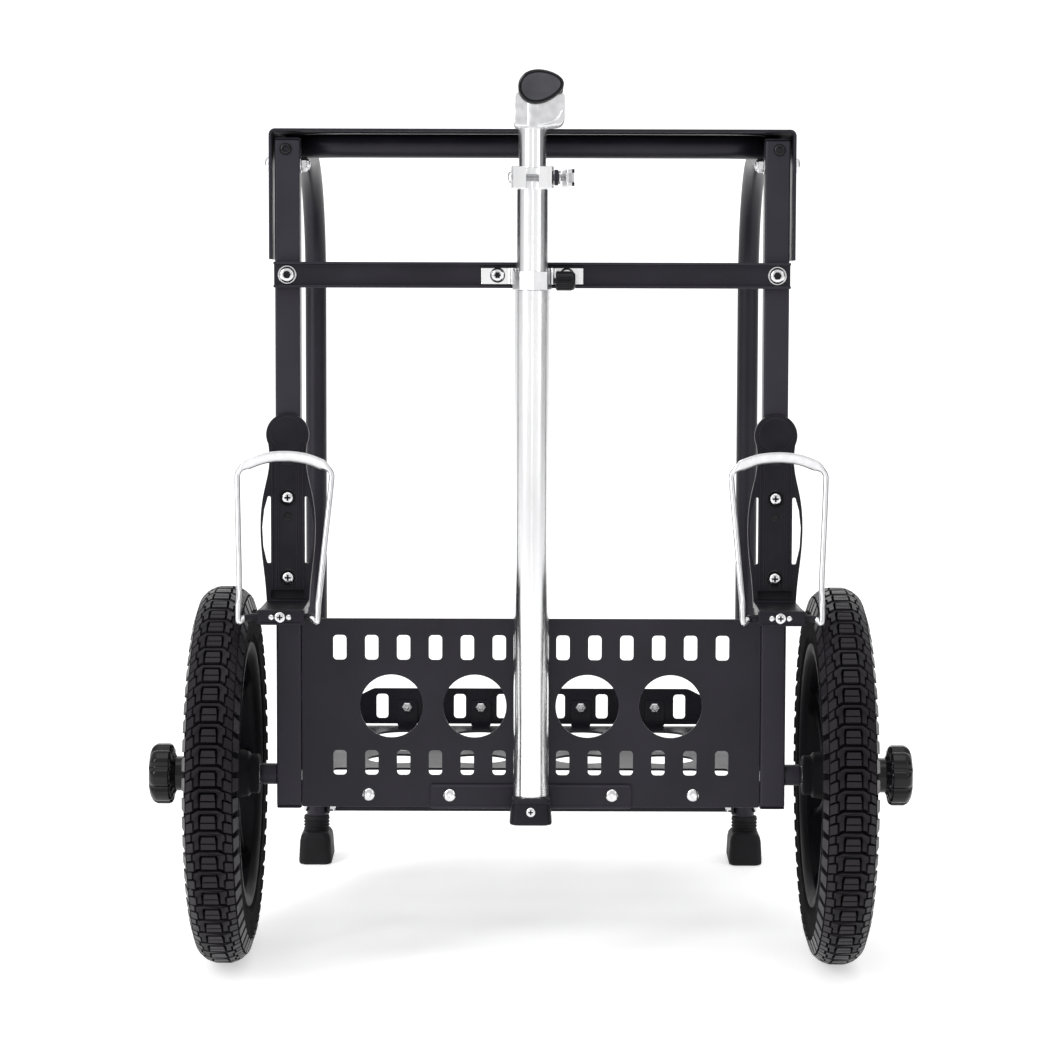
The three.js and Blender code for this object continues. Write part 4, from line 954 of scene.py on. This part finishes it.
lip_low, lip_high = cart_box("shelf_lip")
LIP_END_TOP = 163
LIP_SLOTS_X = (-135, -64.5, -25.6, 25.6, 64.5, 135)
lip_outline = rounded([
    (lip_low.x, lip_low.z), (lip_high.x, lip_low.z), (lip_high.x, LIP_END_TOP), (143, lip_high.z),
    (-143, lip_high.z), (lip_low.x, LIP_END_TOP),
], [2, 2, 4, 12, 12, 4], 5)
lip_holes = [oblong(x, (lip_low.z + lip_high.z) / 2, SLOT_WIDTH, SLOT_HEIGHT + 2, 3) for x in LIP_SLOTS_X]
piece("lip_plate", front_sheet(lip_outline, lip_holes, lip_high.y, SHEET), "black_powder_coat", "frame",
      ["shelf_lip"])
LIP_SCREW_Z = 165
lip_screws = []
for x in HOLES_X:
    lip_screws.append(moved(button_head(4.6, 2.2), (x, lip_high.y, LIP_SCREW_Z), FACE_BACK))
    lip_screws.append(facing_handle(hex_nut(4.6, 3.2, 2), x, SHELF_FRONT_Y - SHEET, LIP_SCREW_Z))
piece("lip_screws", merged(*lip_screws), "bright_steel", "frame")

cross_low, cross_high = cart_box("lower_cross_member")
cross_outline = rounded([
    (cross_low.x, cross_low.y), (cross_low.x + SHEET, cross_low.y),
    (cross_low.x + SHEET, cross_high.y - SHEET), (cross_high.x - SHEET, cross_high.y - SHEET),
    (cross_high.x - SHEET, cross_low.y), (cross_high.x, cross_low.y),
    (cross_high.x, cross_high.y), (cross_low.x, cross_high.y),
], [0.6, 0.6, 1.5, 1.5, 0.6, 0.6, 3.5, 3.5], 5)
cross = moved(plate(cross_outline, (), cross_high.z - cross_low.z, 0.4), (0, 0, cross_low.z))
piece("leg_cross_member", cross, "black_powder_coat", "frame", ["lower_cross_member"])
CROSS_BOLT_Y = LEG_Y - 2
CROSS_BOLT_Z = 71
cross_bolts = []
for _, sign in SIDES:
    inside = sign * (cross_high.x - SHEET)
    outside = sign * (LEG_X + TUBE_RADIUS)
    cross_bolts.append(facing_side(hex_nut(5.6, 4, 2.6), inside, CROSS_BOLT_Y, CROSS_BOLT_Z, -sign))
    cross_bolts.append(facing_side(button_head(5.6, 2.8), outside, CROSS_BOLT_Y, CROSS_BOLT_Z, sign))
piece("cross_member_bolts", merged(*cross_bolts), "bright_steel", "frame")

# ---------- feet ----------

BOOT_TOP = 49
BOOT_CORNER = 6
SOLE = ((1.5, 0), (0.3, 0.8), (0, 2), (0, 3.5), (0, 5))  # (inset, height above the ground)
BOOT = ((0.4, 34), (0.8, 41), (1.6, 45), (3.5, 48), (6.5, BOOT_TOP))  # (inset, z)
for side, _ in SIDES:
    low, high = cart_box(f"foot_{side}")
    x = (low.x + high.x) / 2
    width = high.x - low.x
    depth = high.y - low.y
    rings = []
    for inset, lift in SOLE:
        ring = oblong(x, LEG_Y, width - 2 * inset, depth - 2 * inset, BOOT_CORNER)
        rings.append([Vector((point.x, point.y, ground_at(point.y) + lift)) for point in ring])
    for inset, z in BOOT:
        ring = oblong(x, LEG_Y, width - 2 * inset, depth - 2 * inset, BOOT_CORNER)
        rings.append([Vector((point.x, point.y, z)) for point in ring])
    cuff = [(9.6, BOOT_TOP - 2), (11.8, BOOT_TOP - 2), (11.8, BOOT_TOP + 1)]
    for z in (BOOT_TOP + 2, BOOT_TOP + 5, BOOT_TOP + 8):
        cuff += [(11.1, z), (11.1, z + 0.9), (11.8, z + 1.4), (11.8, z + 2.2)]
    cuff += [(11.4, high.z - 0.4), (10.8, high.z), (9.6, high.z)]
    boot = merged(loft(rings), moved(ring_tube(cuff, 40), (x, LEG_Y, 0)))
    piece(f"foot_boot_{side}", boot, "black_rubber", "frame", [f"foot_{side}"])

# ---------- handle base ----------

strip_mid = (strip_low.z + strip_high.z) / 2
strip_face = oblong(0, strip_mid, strip_high.x - strip_low.x, strip_high.z - strip_low.z, 2)
STRIP_LIP = 2.3
strip = [front_sheet(strip_face, (), strip_high.y, strip_high.y - strip_low.y - 0.6, 0.4)]
for z in (strip_high.z - 0.3 - STRIP_LIP, strip_low.z + 0.3):
    strip.append(block(strip_low.x + 1, strip_high.x - 1, strip_low.y, strip_low.y + 1.4, z, z + STRIP_LIP,
                       0.5))
piece("base_strip", merged(*strip), "black_powder_coat", "frame", ["base_bracket"])

cup_low, cup_high = cart_box("base_cup")
CUP_BORE = 14.6
CUP_FLOOR = 127.2
CUP_TAPER = 1.4
CUP_SKIN = (  # (how far the skin stands out, z)
    (-1.8, cup_low.z), (-0.5, cup_low.z + 0.6), (0, cup_low.z + 2), (-0.5, cup_high.z - 7),
    (-0.6, cup_high.z - 5), (0.1, cup_high.z - 4.4), (0, cup_high.z - 1.4), (-1, cup_high.z - 0.2),
    (-1.6, cup_high.z),
)
cup_rings = []
for grow, z in CUP_SKIN:
    taper = CUP_TAPER * (z - cup_low.z) / (cup_high.z - cup_low.z)
    ring = oblong(0, (cup_low.y + cup_high.y) / 2, cup_high.x - cup_low.x + 2 * (grow - taper),
                  cup_high.y - cup_low.y + 2 * min(grow, 0), 6)
    cup_rings.append([Vector((point.x, point.y, z)) for point in ring])
cup = cut(loft(cup_rings), moved(rod(CUP_BORE, CUP_FLOOR, cup_high.z + 2), (0, POLE_Y, 0)))
piece("base_socket", cup, "black_plastic", "frame", ["base_cup"])
CUP_SCREW_Z = 130
piece("base_screw", facing_handle(button_head(4, 1.6, "cross"), 0, cup_low.y + 0.7, CUP_SCREW_Z),
      "bright_steel", "frame")

# ---------- bottle cages ----------

CAGE_PLATE = 5
HOOP_PLAY = {"left": -2.4, "right": 0.6}  # how far each hoop's feet sit off centre in their block
HINGE_X = 18.5
HINGE_Z = 288.5
CAGE_FOOT_Z = 290
DISC_Z = 428
DISC_RADIUS = 17.2
DISC_END = 0.45  # how far below the level the disc's rim runs, as an angle
DISC_FACE = ((0, -0.5), (13.6, -0.5), (13.6, 0.3), (13.1, 0.7), (12.3, 0.6), (6, 0.8), (0, 0.9))
WINDOW = ((13.6, 325), (16.8, 325), (19.8, 338), (20.6, 354), (19, 368), (16, 378.5), (13.6, 378.5))
# Ridges down the face: distance from the middle, height, lowest z and highest z.
RIDGES = ((12.3, 1.0, 304.5, 418), (9.0, 0.6, 305, 414), (7.2, 0.5, 305, 400), (3.6, 0.5, 304.5, 312))
RIDGE_HALF = 0.55
BOSS_RADIUS = 7
BOSS_BORE = 6.2
BLIND_Z = 363
BLIND = ((0, 0), (2.9, 0), (3.3, 0.5), (2.6, 0.7), (2.2, 0.1), (0, 0.1))
PIN_Z = 289
PIN = ((0, -0.5), (2.4, -0.5), (2.4, 0.3), (1.6, 1), (0, 1.2))


def bezier(a, b, c, d, steps=10):
    """Points of a cubic curve from a to just before d."""
    a, b, c, d = (Vector(point) for point in (a, b, c, d))
    points = []
    for k in range(steps):
        t = k / steps
        u = 1 - t
        points.append(a * u ** 3 + b * 3 * u * u * t + c * 3 * u * t * t + d * t ** 3)
    return points


def cage_outline():
    waist = Vector((14.6, 412))
    right = bezier((17, CAGE_FOOT_Z), (18, 318), (22, 330), (22, 354))
    right += bezier((22, 354), (22, 384), (14, 392), waist)
    right.append(waist)
    steps = 28
    arc = []
    for k in range(steps + 1):
        angle = -DISC_END + (math.pi + 2 * DISC_END) * k / steps
        arc.append(Vector((DISC_RADIUS * math.cos(angle), DISC_Z + DISC_RADIUS * math.sin(angle))))
    return right + arc + [Vector((-point.x, point.y)) for point in reversed(right)]


def cage_back(post_face, screw_heights):
    """The parts of the moulded back, centred on x = 0, and the y of its face."""
    windows = [rounded([(sign * x, z) for x, z in WINDOW], [1, 1, 4, 8, 4, 1, 1], 4) for _, sign in SIDES]
    windows[0].reverse()
    face = post_face - CAGE_PLATE
    body = front_sheet(cage_outline(), windows, post_face, CAGE_PLATE, 0.9)
    body = cut(body, block(-13.5, 13.5, face - 1, face + 3.6, 296.5, 303.5, 0.8))
    for z in screw_heights:
        body = cut(body, facing_handle(rod(BOSS_BORE, -2.4, 1, 0.2, 40), 0, face, z))
    parts = [body]
    for middle_x, height, ridge_low, ridge_high in RIDGES:
        for _, sign in SIDES:
            edges = sorted((sign * (middle_x - RIDGE_HALF), sign * (middle_x + RIDGE_HALF)))
            parts.append(block(*edges, face - height, face + 0.5, ridge_low, ridge_high, 0.35))
    parts.append(facing_handle(turned(DISC_FACE, 56), 0, face, DISC_Z + 1))
    parts.append(block(-4, 4, face - 0.7, face + 0.5, 404, 408, 0.4))
    return parts, face


def cage_foot(face, hinge_y, low):
    """The arm that reaches out from the back's foot, its ribs and the block that holds the hoop."""
    arm = rounded([(-17, face + 1), (17, face + 1), (17.6, hinge_y), (-17.6, hinge_y)], 1, 2)
    parts = [moved(plate(arm, (), CAGE_PLATE, 0.8), (0, 0, CAGE_FOOT_Z))]
    for rib in (-15.5, -5.5, 5.5, 15.5):
        parts.append(block(rib - 0.8, rib + 0.8, hinge_y, face, 286.5, 291, 0.4))
    parts.append(block(-17, 17, face - 2, face + 1, 291, 295.8, 1))
    parts.append(block(-HINGE_X, HINGE_X, low.y, hinge_y + 7, low.z, CAGE_FOOT_Z + CAGE_PLATE, 1.6, 3))
    parts.append(block(-HINGE_X + 2, HINGE_X - 2, low.y, low.y + 3, low.z, low.z + 3, 0.8))
    return parts


WIRE = 2.3
REFLECTION_SLEEVE = 0.6  # thickness of the black sleeve round a foot of the hoop, a dark piece that paints in the wire's dark reflection there
BAND_Z = 395  # above this the wire is flattened
PLAY_END_Z = 398  # from here up the hoop is centred again
BAND_HALF = 34.5
BAND_BLEND = 5
HOOP_SIDES = 16
LOOKS_IN = Vector((0, 1, 0.35)).normalized()  # the way the band's flat side faces


def hoop_route(hinge_y, play):
    """The hoop's wire from foot to foot, the feet off centre by play."""
    half = [(11, hinge_y, HINGE_Z), (23, hinge_y, HINGE_Z), (26.5, hinge_y - 1.4, HINGE_Z - 0.7),
            (30.2, hinge_y - 4.6, HINGE_Z - 3.2), (30.9, hinge_y - 4.6, HINGE_Z + 0.2),
            (31.1, hinge_y - 2, 300), (31.8, -71.5, 314), (35.6, -54, 368), (37.1, -46, 391),
            (37.0, -44.3, 398.5), (33.5, -45.2, 403.4), (27, -46.3, 407), (15, -47.2, 411)]
    other_half = [(-x, y, z) for x, y, z in half]
    route = smooth_route(other_half + [(0, -47.4, 412.4)] + half[::-1], 4)
    for point in route:
        point.x += play * max(0, 1 - (point.z - HINGE_Z) / (PLAY_END_Z - HINGE_Z))
    return route


def hoop_wire(route):
    """Round wire, flattened into a band where it crosses in front of the bottle."""
    rings = []
    for i, here in enumerate(route):
        flat = min(max((BAND_HALF - abs(here.x)) / BAND_BLEND, 0), 1) if here.z > BAND_Z else 0
        thick = WIRE * (1 - 0.45 * flat)
        tall = WIRE * (1 + flat)
        tangent = tangent_at(route, i)
        across = (LOOKS_IN - tangent * LOOKS_IN.dot(tangent)).normalized()
        up = tangent.cross(across)
        angles = [TURN * k / HOOP_SIDES for k in range(HOOP_SIDES)]
        rings.append([here + across * (thick * math.cos(angle)) + up * (tall * math.sin(angle))
                      for angle in angles])
    return loft(rings)


for side, _ in SIDES:
    low, high = cart_box(f"cage_back_{side}")
    x = (low.x + high.x) / 2
    hinge_y = low.y + 7
    screw_heights = [middle(f"cage_screw_{level}_{side}").z for level in ("lower", "upper")]
    parts, face = cage_back(high.y, screw_heights)
    parts += cage_foot(face, hinge_y, low)
    piece(f"cage_{side}", moved(merged(*parts), (x, 0, 0)), "black_plastic", "frame", [f"cage_back_{side}"])

    rings = [facing_handle(turned(BLIND, 32), x, face - 0.01, BLIND_Z)]
    for level, z in zip(("lower", "upper"), screw_heights):
        rings.append(facing_handle(pipe(BOSS_RADIUS, BOSS_BORE, -0.5, 0.7, 0.3), x, face, z))
        head = facing_handle(button_head(4.9, 2.6, "cross"), x, face + 0.6, z)
        piece(f"cage_fixing_{level}_{side}", head, "bright_steel", "frame", [f"cage_screw_{level}_{side}"])
    piece(f"cage_bosses_{side}", merged(*rings), "gloss_black_plastic", "frame")
    pins = [facing_handle(turned(PIN, 24), x + off, low.y + 0.6, PIN_Z) for off in (-7.6, 6)]
    pins.append(facing_handle(button_head(4.2, 0.9, "cross"), x - 0.8, low.y + 0.3, PIN_Z))
    piece(f"hinge_pins_{side}", merged(*pins), "bright_steel", "frame")

    play = HOOP_PLAY[side]
    # Painted reflection: black sleeves over the hoop's feet stand in for the dark reflection that the bright
    # wire shows there.
    reflection_sleeves = []
    for sign in (-1, 1):
        route = smooth_route([(sign * (HINGE_X - 2), hinge_y, HINGE_Z), (sign * 23, hinge_y, HINGE_Z),
                              (sign * 26.5 + play, hinge_y - 1.4, HINGE_Z - 0.7)], 5)
        reflection_sleeves.append(swept(route, disc(0, 0, WIRE + REFLECTION_SLEEVE, 20)))
    piece(f"hoop_reflection_sleeves_{side}", moved(merged(*reflection_sleeves), (x, 0, 0)), "black_plastic", f"cage_hoop_{side}")
    hoop = moved(hoop_wire(hoop_route(hinge_y, play)), (x, 0, 0))
    piece(f"hoop_{side}", hoop, "bright_aluminium", f"cage_hoop_{side}", [f"cage_hoop_{side}"],
          "satin_aluminium")

# ---------- wheels ----------

tyre_low, tyre_high = cart_box("tyre_right")
WHEEL_X = (tyre_low.x + tyre_high.x) / 2
TYRE_HALF = (tyre_high.x - tyre_low.x) / 2
BEAD = 103.4
CROWN_REACH = 23  # arc length across the tread for one radian of the tyre's section
TREAD_DEPTH = 3.2
PITCHES = 57
PITCH_ANGLE = TURN / PITCHES
section_mid = (WHEEL_RADIUS + BEAD) / 2
section_rise = (WHEEL_RADIUS - BEAD) / 2


def on_tyre(turn, across, height):
    """A point above the tyre's skin, at a turn about the axle and a distance across the tread."""
    off = across / CROWN_REACH
    radius = section_mid + section_rise * math.cos(off) ** 0.7 + height * math.cos(off)
    x = TYRE_HALF * math.sin(off) + height * math.sin(off)
    return Vector((radius * math.cos(turn), radius * math.sin(turn), x))


def both_ways(profile):
    """A list of (radius, x) points and then its mirror image, last point first."""
    return profile + [(radius, -x) for radius, x in reversed(profile)]


def inset_outline(points, distance):
    """Moves each corner of an outline inwards along its bisector."""
    count = len(points)
    area = sum(points[i][0] * points[(i + 1) % count][1] - points[(i + 1) % count][0] * points[i][1]
               for i in range(count))
    turn_sign = 1 if area > 0 else -1
    result = []
    for i in range(count):
        a, b, c = Vector(points[i - 1]), Vector(points[i]), Vector(points[(i + 1) % count])
        first = (b - a).normalized()
        second = (c - b).normalized()
        normal = Vector((-first.y - second.y, first.x + second.x)) * turn_sign
        if normal.length < 0.01:
            normal = Vector((-first.y, first.x)) * turn_sign
        normal.normalize()
        result.append(b + normal * distance)
    return result


# One pitch of tread, as outlines of (distance across, distance round).
CENTRE_BLOCK = [(-6.4, 1.6), (6.4, 1.6), (6.4, 6.4), (-6.4, 6.4)]
CENTRE_BLOCK_TOP = [(-6.4, 6.9), (6.4, 6.9), (5.6, 12.2), (-5.6, 12.2)]
ARCH_BLOCK = [(-12.0, 0.6), (-7.6, 2.0), (-7.6, 10.6), (-6.6, 13.4), (6.6, 13.4), (7.6, 10.6), (7.6, 2.0),
              (12.0, 0.6), (12.0, 7.4), (14.2, 8.0), (14.2, 13.2), (8.0, 16.5), (-8.0, 16.5), (-14.2, 13.2),
              (-14.2, 8.0), (-12.0, 7.4)]
LUG_LOW = [(13.2, -1.6), (21.6, -4.6), (21.6, 3.6), (15.4, 6.2), (13.2, 5.8)]
LUG_HIGH = [(15.6, 7.2), (21.6, 4.8), (21.6, 11.0), (15.6, 13.6)]
SHOULDER_KNOB = [(22.6, -4.6), (33.6, -3.6), (33.6, 7.0), (22.6, 8.0)]


def mirrored_outline(points):
    return [(-across, along) for across, along in reversed(points)]


TREAD = [CENTRE_BLOCK, CENTRE_BLOCK_TOP, ARCH_BLOCK]
for lug in (LUG_LOW, LUG_HIGH, SHOULDER_KNOB):
    TREAD += [lug, mirrored_outline(lug)]


def tread_block(body, outline, start):
    rings = []
    for grow, height in ((0.15, -TREAD_DEPTH - 0.4), (-0.1, -0.6), (-0.5, 0)):
        shape = inset_outline(outline, -grow)
        rings.append([body.verts.new(on_tyre(start + along / WHEEL_RADIUS, across, height))
                      for across, along in shape])
    count = len(outline)
    for lower, upper in zip(rings, rings[1:]):
        for k in range(count):
            n = (k + 1) % count
            body.faces.new((lower[k], lower[n], upper[n], upper[k]))
    body.faces.new(rings[-1])
    body.faces.new(rings[0])


CARCASS_SIDES = 171
CARCASS_STEPS = 28
CARCASS_REACH = 1.5
SIDEWALL = both_ways([
    (122, TYRE_HALF - 1.6), (116, TYRE_HALF - 1.9), (113.6, TYRE_HALF - 2), (112.8, TYRE_HALF - 1.6),
    (112, TYRE_HALF - 2), (BEAD + 4, TYRE_HALF - 4.2), (BEAD, 15),
])


def tyre_carcass():
    rings = []
    for k in range(CARCASS_STEPS + 1):
        across = CROWN_REACH * CARCASS_REACH * (2 * k / CARCASS_STEPS - 1)
        blend = min(max((35.5 - abs(across)) / 2.5, 0), 1)
        point = on_tyre(0, across, -TREAD_DEPTH * blend)
        rings.append(circle_ring(point.x, point.z, CARCASS_SIDES))
    rings += [circle_ring(radius, x, CARCASS_SIDES) for radius, x in SIDEWALL]
    return loft(rings, closed=True)


def tyre_tread():
    blocks = bmesh.new()
    for pitch in range(PITCHES):
        for outline in TREAD:
            tread_block(blocks, outline, pitch * PITCH_ANGLE)
    return blocks


rim_low, rim_high = cart_box("rim_right")
HUB_HALF = (rim_high.x - rim_low.x) / 2
HUB_RADIUS = 19
SPOKE_PAIRS = 7
SPOKE_SPREAD = 0.11  # half the angle between the two spokes of a pair


def spoke(angle, lean_side):
    """One curved spoke from hub to rim, thicker at both ends."""
    steps = 12
    rings = []
    for k in range(steps + 1):
        share = k / steps
        radius = HUB_RADIUS - 2 + (BEAD - 5 - HUB_RADIUS + 2) * share
        bow = 0.3 * math.sin(math.pi / 2 * share) + 0.03 * lean_side * math.sin(math.pi * share)
        flare = abs(2 * share - 1) ** 4
        half_width = 2.4 + 1.9 * flare
        half_depth = 6.4 + 3.4 * flare
        here = Vector((radius * math.cos(angle + bow), radius * math.sin(angle + bow), 0))
        across = Vector((-math.sin(angle + bow), math.cos(angle + bow), 0))
        rings.append([here + across * u + Vector((0, 0, v)) for u, v in
                      oblong(0, 0, 2 * half_width, 2 * half_depth, 1.6, 3)])
    return loft(rings)


def rim_body():
    rim_profile = both_ways([
        (BEAD - 8, -11), (BEAD - 8.6, -14), (BEAD - 6, -17.4), (BEAD - 1, -19.5), (BEAD + 3, -19.5),
        (BEAD + 3.4, -18.6), (BEAD + 1.4, -17.2), (BEAD - 0.3, -15),
    ])
    hub_profile = both_ways([
        (8.3, -HUB_HALF), (14.5, -HUB_HALF), (16, -HUB_HALF + 1.2), (16, -HUB_HALF + 7),
        (18.2, -HUB_HALF + 9), (HUB_RADIUS, -12), (HUB_RADIUS + 1.2, -8),
    ])
    parts = [ring_tube([*rim_profile, (BEAD - 6.4, 8), (BEAD - 6.4, -8)], 144), ring_tube(hub_profile, 64)]
    for pair in range(SPOKE_PAIRS):
        angle = TURN * pair / SPOKE_PAIRS
        parts += [spoke(angle - SPOKE_SPREAD, -1), spoke(angle + SPOKE_SPREAD, 1)]
    return merged(*parts)


def on_axle(body, sign, x=0):
    """Puts a piece drawn about the z axis on the axle, facing outwards on its side."""
    turn = ALONG_X if sign > 0 else Matrix.Rotation(math.pi, 4, "Z") @ ALONG_X
    return moved(body, (sign * x, 0, WHEEL_RADIUS), turn)


axle_outer = abs(AXLE_LOW.x) / MM
axle_inner = abs(AXLE_HIGH.x) / MM
spacer_low, spacer_high = cart_box("axle_spacer_right")
star_low, star_high = cart_box("wheel_knob_right")
STAR_END = star_high.x
STAR_RADIUS = 24.5
STAR_FLUTES = (8, 2.6, STAR_END - 19.7, STAR_END - 2.3)
for side, sign in SIDES:
    wheel = f"wheel_{side}"
    piece(f"tyre_carcass_{side}", on_axle(tyre_carcass(), sign, WHEEL_X), "tyre_rubber", wheel,
          [f"tyre_{side}"], "sidewall_rubber")
    tread = tyre_tread()
    if sign > 0:
        moved(tread, Matrix.Scale(-1, 4, (0, 1, 0)))
    piece(f"tyre_tread_{side}", on_axle(tread, sign, WHEEL_X), "tyre_rubber", wheel)
    piece(f"spoked_rim_{side}", on_axle(rim_body(), sign, WHEEL_X), "rim_plastic", wheel, [f"rim_{side}"])
    bush = pipe(8, 5.3, -HUB_HALF + 0.2, HUB_HALF - 0.2, 0.5)
    piece(f"hub_bush_{side}", on_axle(bush, sign, WHEEL_X), "bright_steel", wheel, [f"wheel_bush_{side}"])
    inner_nut = moved(hex_nut(8, 5, 4), (0, 0, axle_inner), Matrix.Rotation(math.pi, 4, "X"))
    axle = merged(rod(5, axle_inner, axle_outer, 0.8), inner_nut)
    piece(f"axle_pin_{side}", on_axle(axle, sign), "bright_steel", "frame", [f"axle_{side}"])
    spacer = ring_tube([
        (5.3, spacer_low.x), (8.1, spacer_low.x), (8.5, spacer_low.x + 0.4), (8.5, spacer_high.x - 2),
        (7.6, spacer_high.x - 1.6), (7.6, spacer_high.x), (5.3, spacer_high.x),
    ], 48)
    piece(f"axle_collar_{side}", on_axle(spacer, sign), "black_powder_coat", "frame",
          [f"axle_spacer_{side}"])
    star = turned([
        (0, star_low.x), (13.4, star_low.x), (14, star_low.x + 0.6), (14, STAR_END - 22),
        (16.5, STAR_END - 20.6), (21.6, STAR_END - 19.6), (23.4, STAR_END - 18.4),
        (STAR_RADIUS, STAR_END - 16.5), (STAR_RADIUS, STAR_END - 7), (23.3, STAR_END - 4.4),
        (21.4, STAR_END - 2.4), (18, STAR_END - 1.1), (12, STAR_END - 0.3), (6, STAR_END), (0, STAR_END),
    ], 160, STAR_FLUTES)
    piece(f"star_knob_{side}", on_axle(star, sign), "gloss_black_plastic", f"wheel_knob_{side}",
          [f"wheel_knob_{side}"])

# ---------- stage, light and camera ----------

FLOOR_HALF = 9
WALL_HALF = 3
WALL_Y = 6
WALL_TOP = 7
CURVE_RADIUS = 2.5
PAPER_GLOW = 0.5


def stage_material():
    material = bpy.data.materials.new("studio_paper")
    material.use_nodes = True
    tree = material.node_tree
    shader = tree.nodes["Principled BSDF"]
    place = tree.nodes.new("ShaderNodeTexCoord").outputs["Object"]
    grain = noise_on(tree, place, (1, 1, 1), 3)
    paper_colour = blend_colours(tree, grain, (0.78, 0.78, 0.78), (0.8, 0.8, 0.8))
    tree.links.new(paper_colour, shader.inputs["Base Color"])
    shader.inputs["Emission Color"].default_value = (1, 1, 1, 1)
    shader.inputs["Emission Strength"].default_value = PAPER_GLOW
    shader.inputs["Roughness"].default_value = 0.9
    return material


profile = [(-FLOOR_HALF, 0)]
for k in range(17):
    angle = math.pi / 2 * k / 16
    y = WALL_Y - CURVE_RADIUS * (1 - math.sin(angle))
    profile.append((y, CURVE_RADIUS * (1 - math.cos(angle))))
profile.append((WALL_Y, WALL_TOP))
paper = bmesh.new()
rows = []
for y, z in profile:
    half = FLOOR_HALF if z == 0 else WALL_HALF
    rows.append([paper.verts.new((x, y, z)) for x in (-half, half)])
for lower, upper in zip(rows, rows[1:]):
    paper.faces.new((lower[0], lower[1], upper[1], upper[0]))
paper_mesh = bpy.data.meshes.new("studio_paper")
paper.to_mesh(paper_mesh)
paper.free()
paper_mesh.shade_smooth()
paper_mesh.materials.append(stage_material())
floor = bpy.data.objects.new("studio_paper", paper_mesh)
bpy.context.scene.collection.objects.link(floor)

world = bpy.data.worlds.new("studio")
bpy.context.scene.world = world
world.use_nodes = True
sky = world.node_tree
background = sky.nodes["Background"]
background.inputs["Strength"].default_value = 0.86
direction = sky.nodes.new("ShaderNodeTexCoord").outputs["Generated"]
split = sky.nodes.new("ShaderNodeSeparateXYZ")
sky.links.new(direction, split.inputs["Vector"])
left_edge = remap(sky, split.outputs["X"], 1, 0, -0.99, -0.75)
left_dim = blend_colours(sky, left_edge, (1, 1, 1), (0.68, 0.68, 0.69))
right_edge = remap(sky, split.outputs["X"], 0, 1, 0.72, 0.95)
sky_colour = blend_colours(sky, right_edge, left_dim, (0.22, 0.22, 0.23))
sky.links.new(sky_colour, background.inputs["Color"])


def area_light(name, power, size, location, target):
    light = bpy.data.lights.new(name, "AREA")
    light.energy = power
    light.shape = "RECTANGLE"
    light.size, light.size_y = size
    lamp = bpy.data.objects.new(name, light)
    lamp.location = location
    lamp.rotation_euler = (Vector(target) - Vector(location)).to_track_quat("-Z", "Y").to_euler()
    bpy.context.scene.collection.objects.link(lamp)


area_light("key", 40, (0.5, 2.0), (-1.9, -1.8, 1.7), (0, 0, 0.35))
area_light("fill", 6, (0.7, 1.8), (2.1, -1.7, 1.4), (0, 0, 0.35))
area_light("top", 12, (2.2, 1.2), (0, -0.5, 2.8), (0, 0, 0.3))
area_light("back", 7, (3.0, 1.2), (0, 3.0, 1.9), (0, 0, 0.4))

SENSOR = 36
LENS = 104.1
CAMERA_AT = (-1.2, -2459.7, 545.0)
CAMERA_PITCH = math.radians(4.51)
CAMERA_ROLL = math.radians(0.16)
camera_data = bpy.data.cameras.new("camera")
camera_data.sensor_width = SENSOR
camera_data.lens = LENS
camera = bpy.data.objects.new("camera", camera_data)
look = LEANING @ Matrix.Rotation(math.pi / 2 - CAMERA_PITCH, 4, "X") @ Matrix.Rotation(CAMERA_ROLL, 4, "Z")
camera.matrix_world = Matrix.Translation(STAND @ Vector(CAMERA_AT)) @ look
bpy.context.scene.collection.objects.link(camera)
bpy.context.scene.camera = camera

bpy.context.scene.view_settings.view_transform = "Standard"
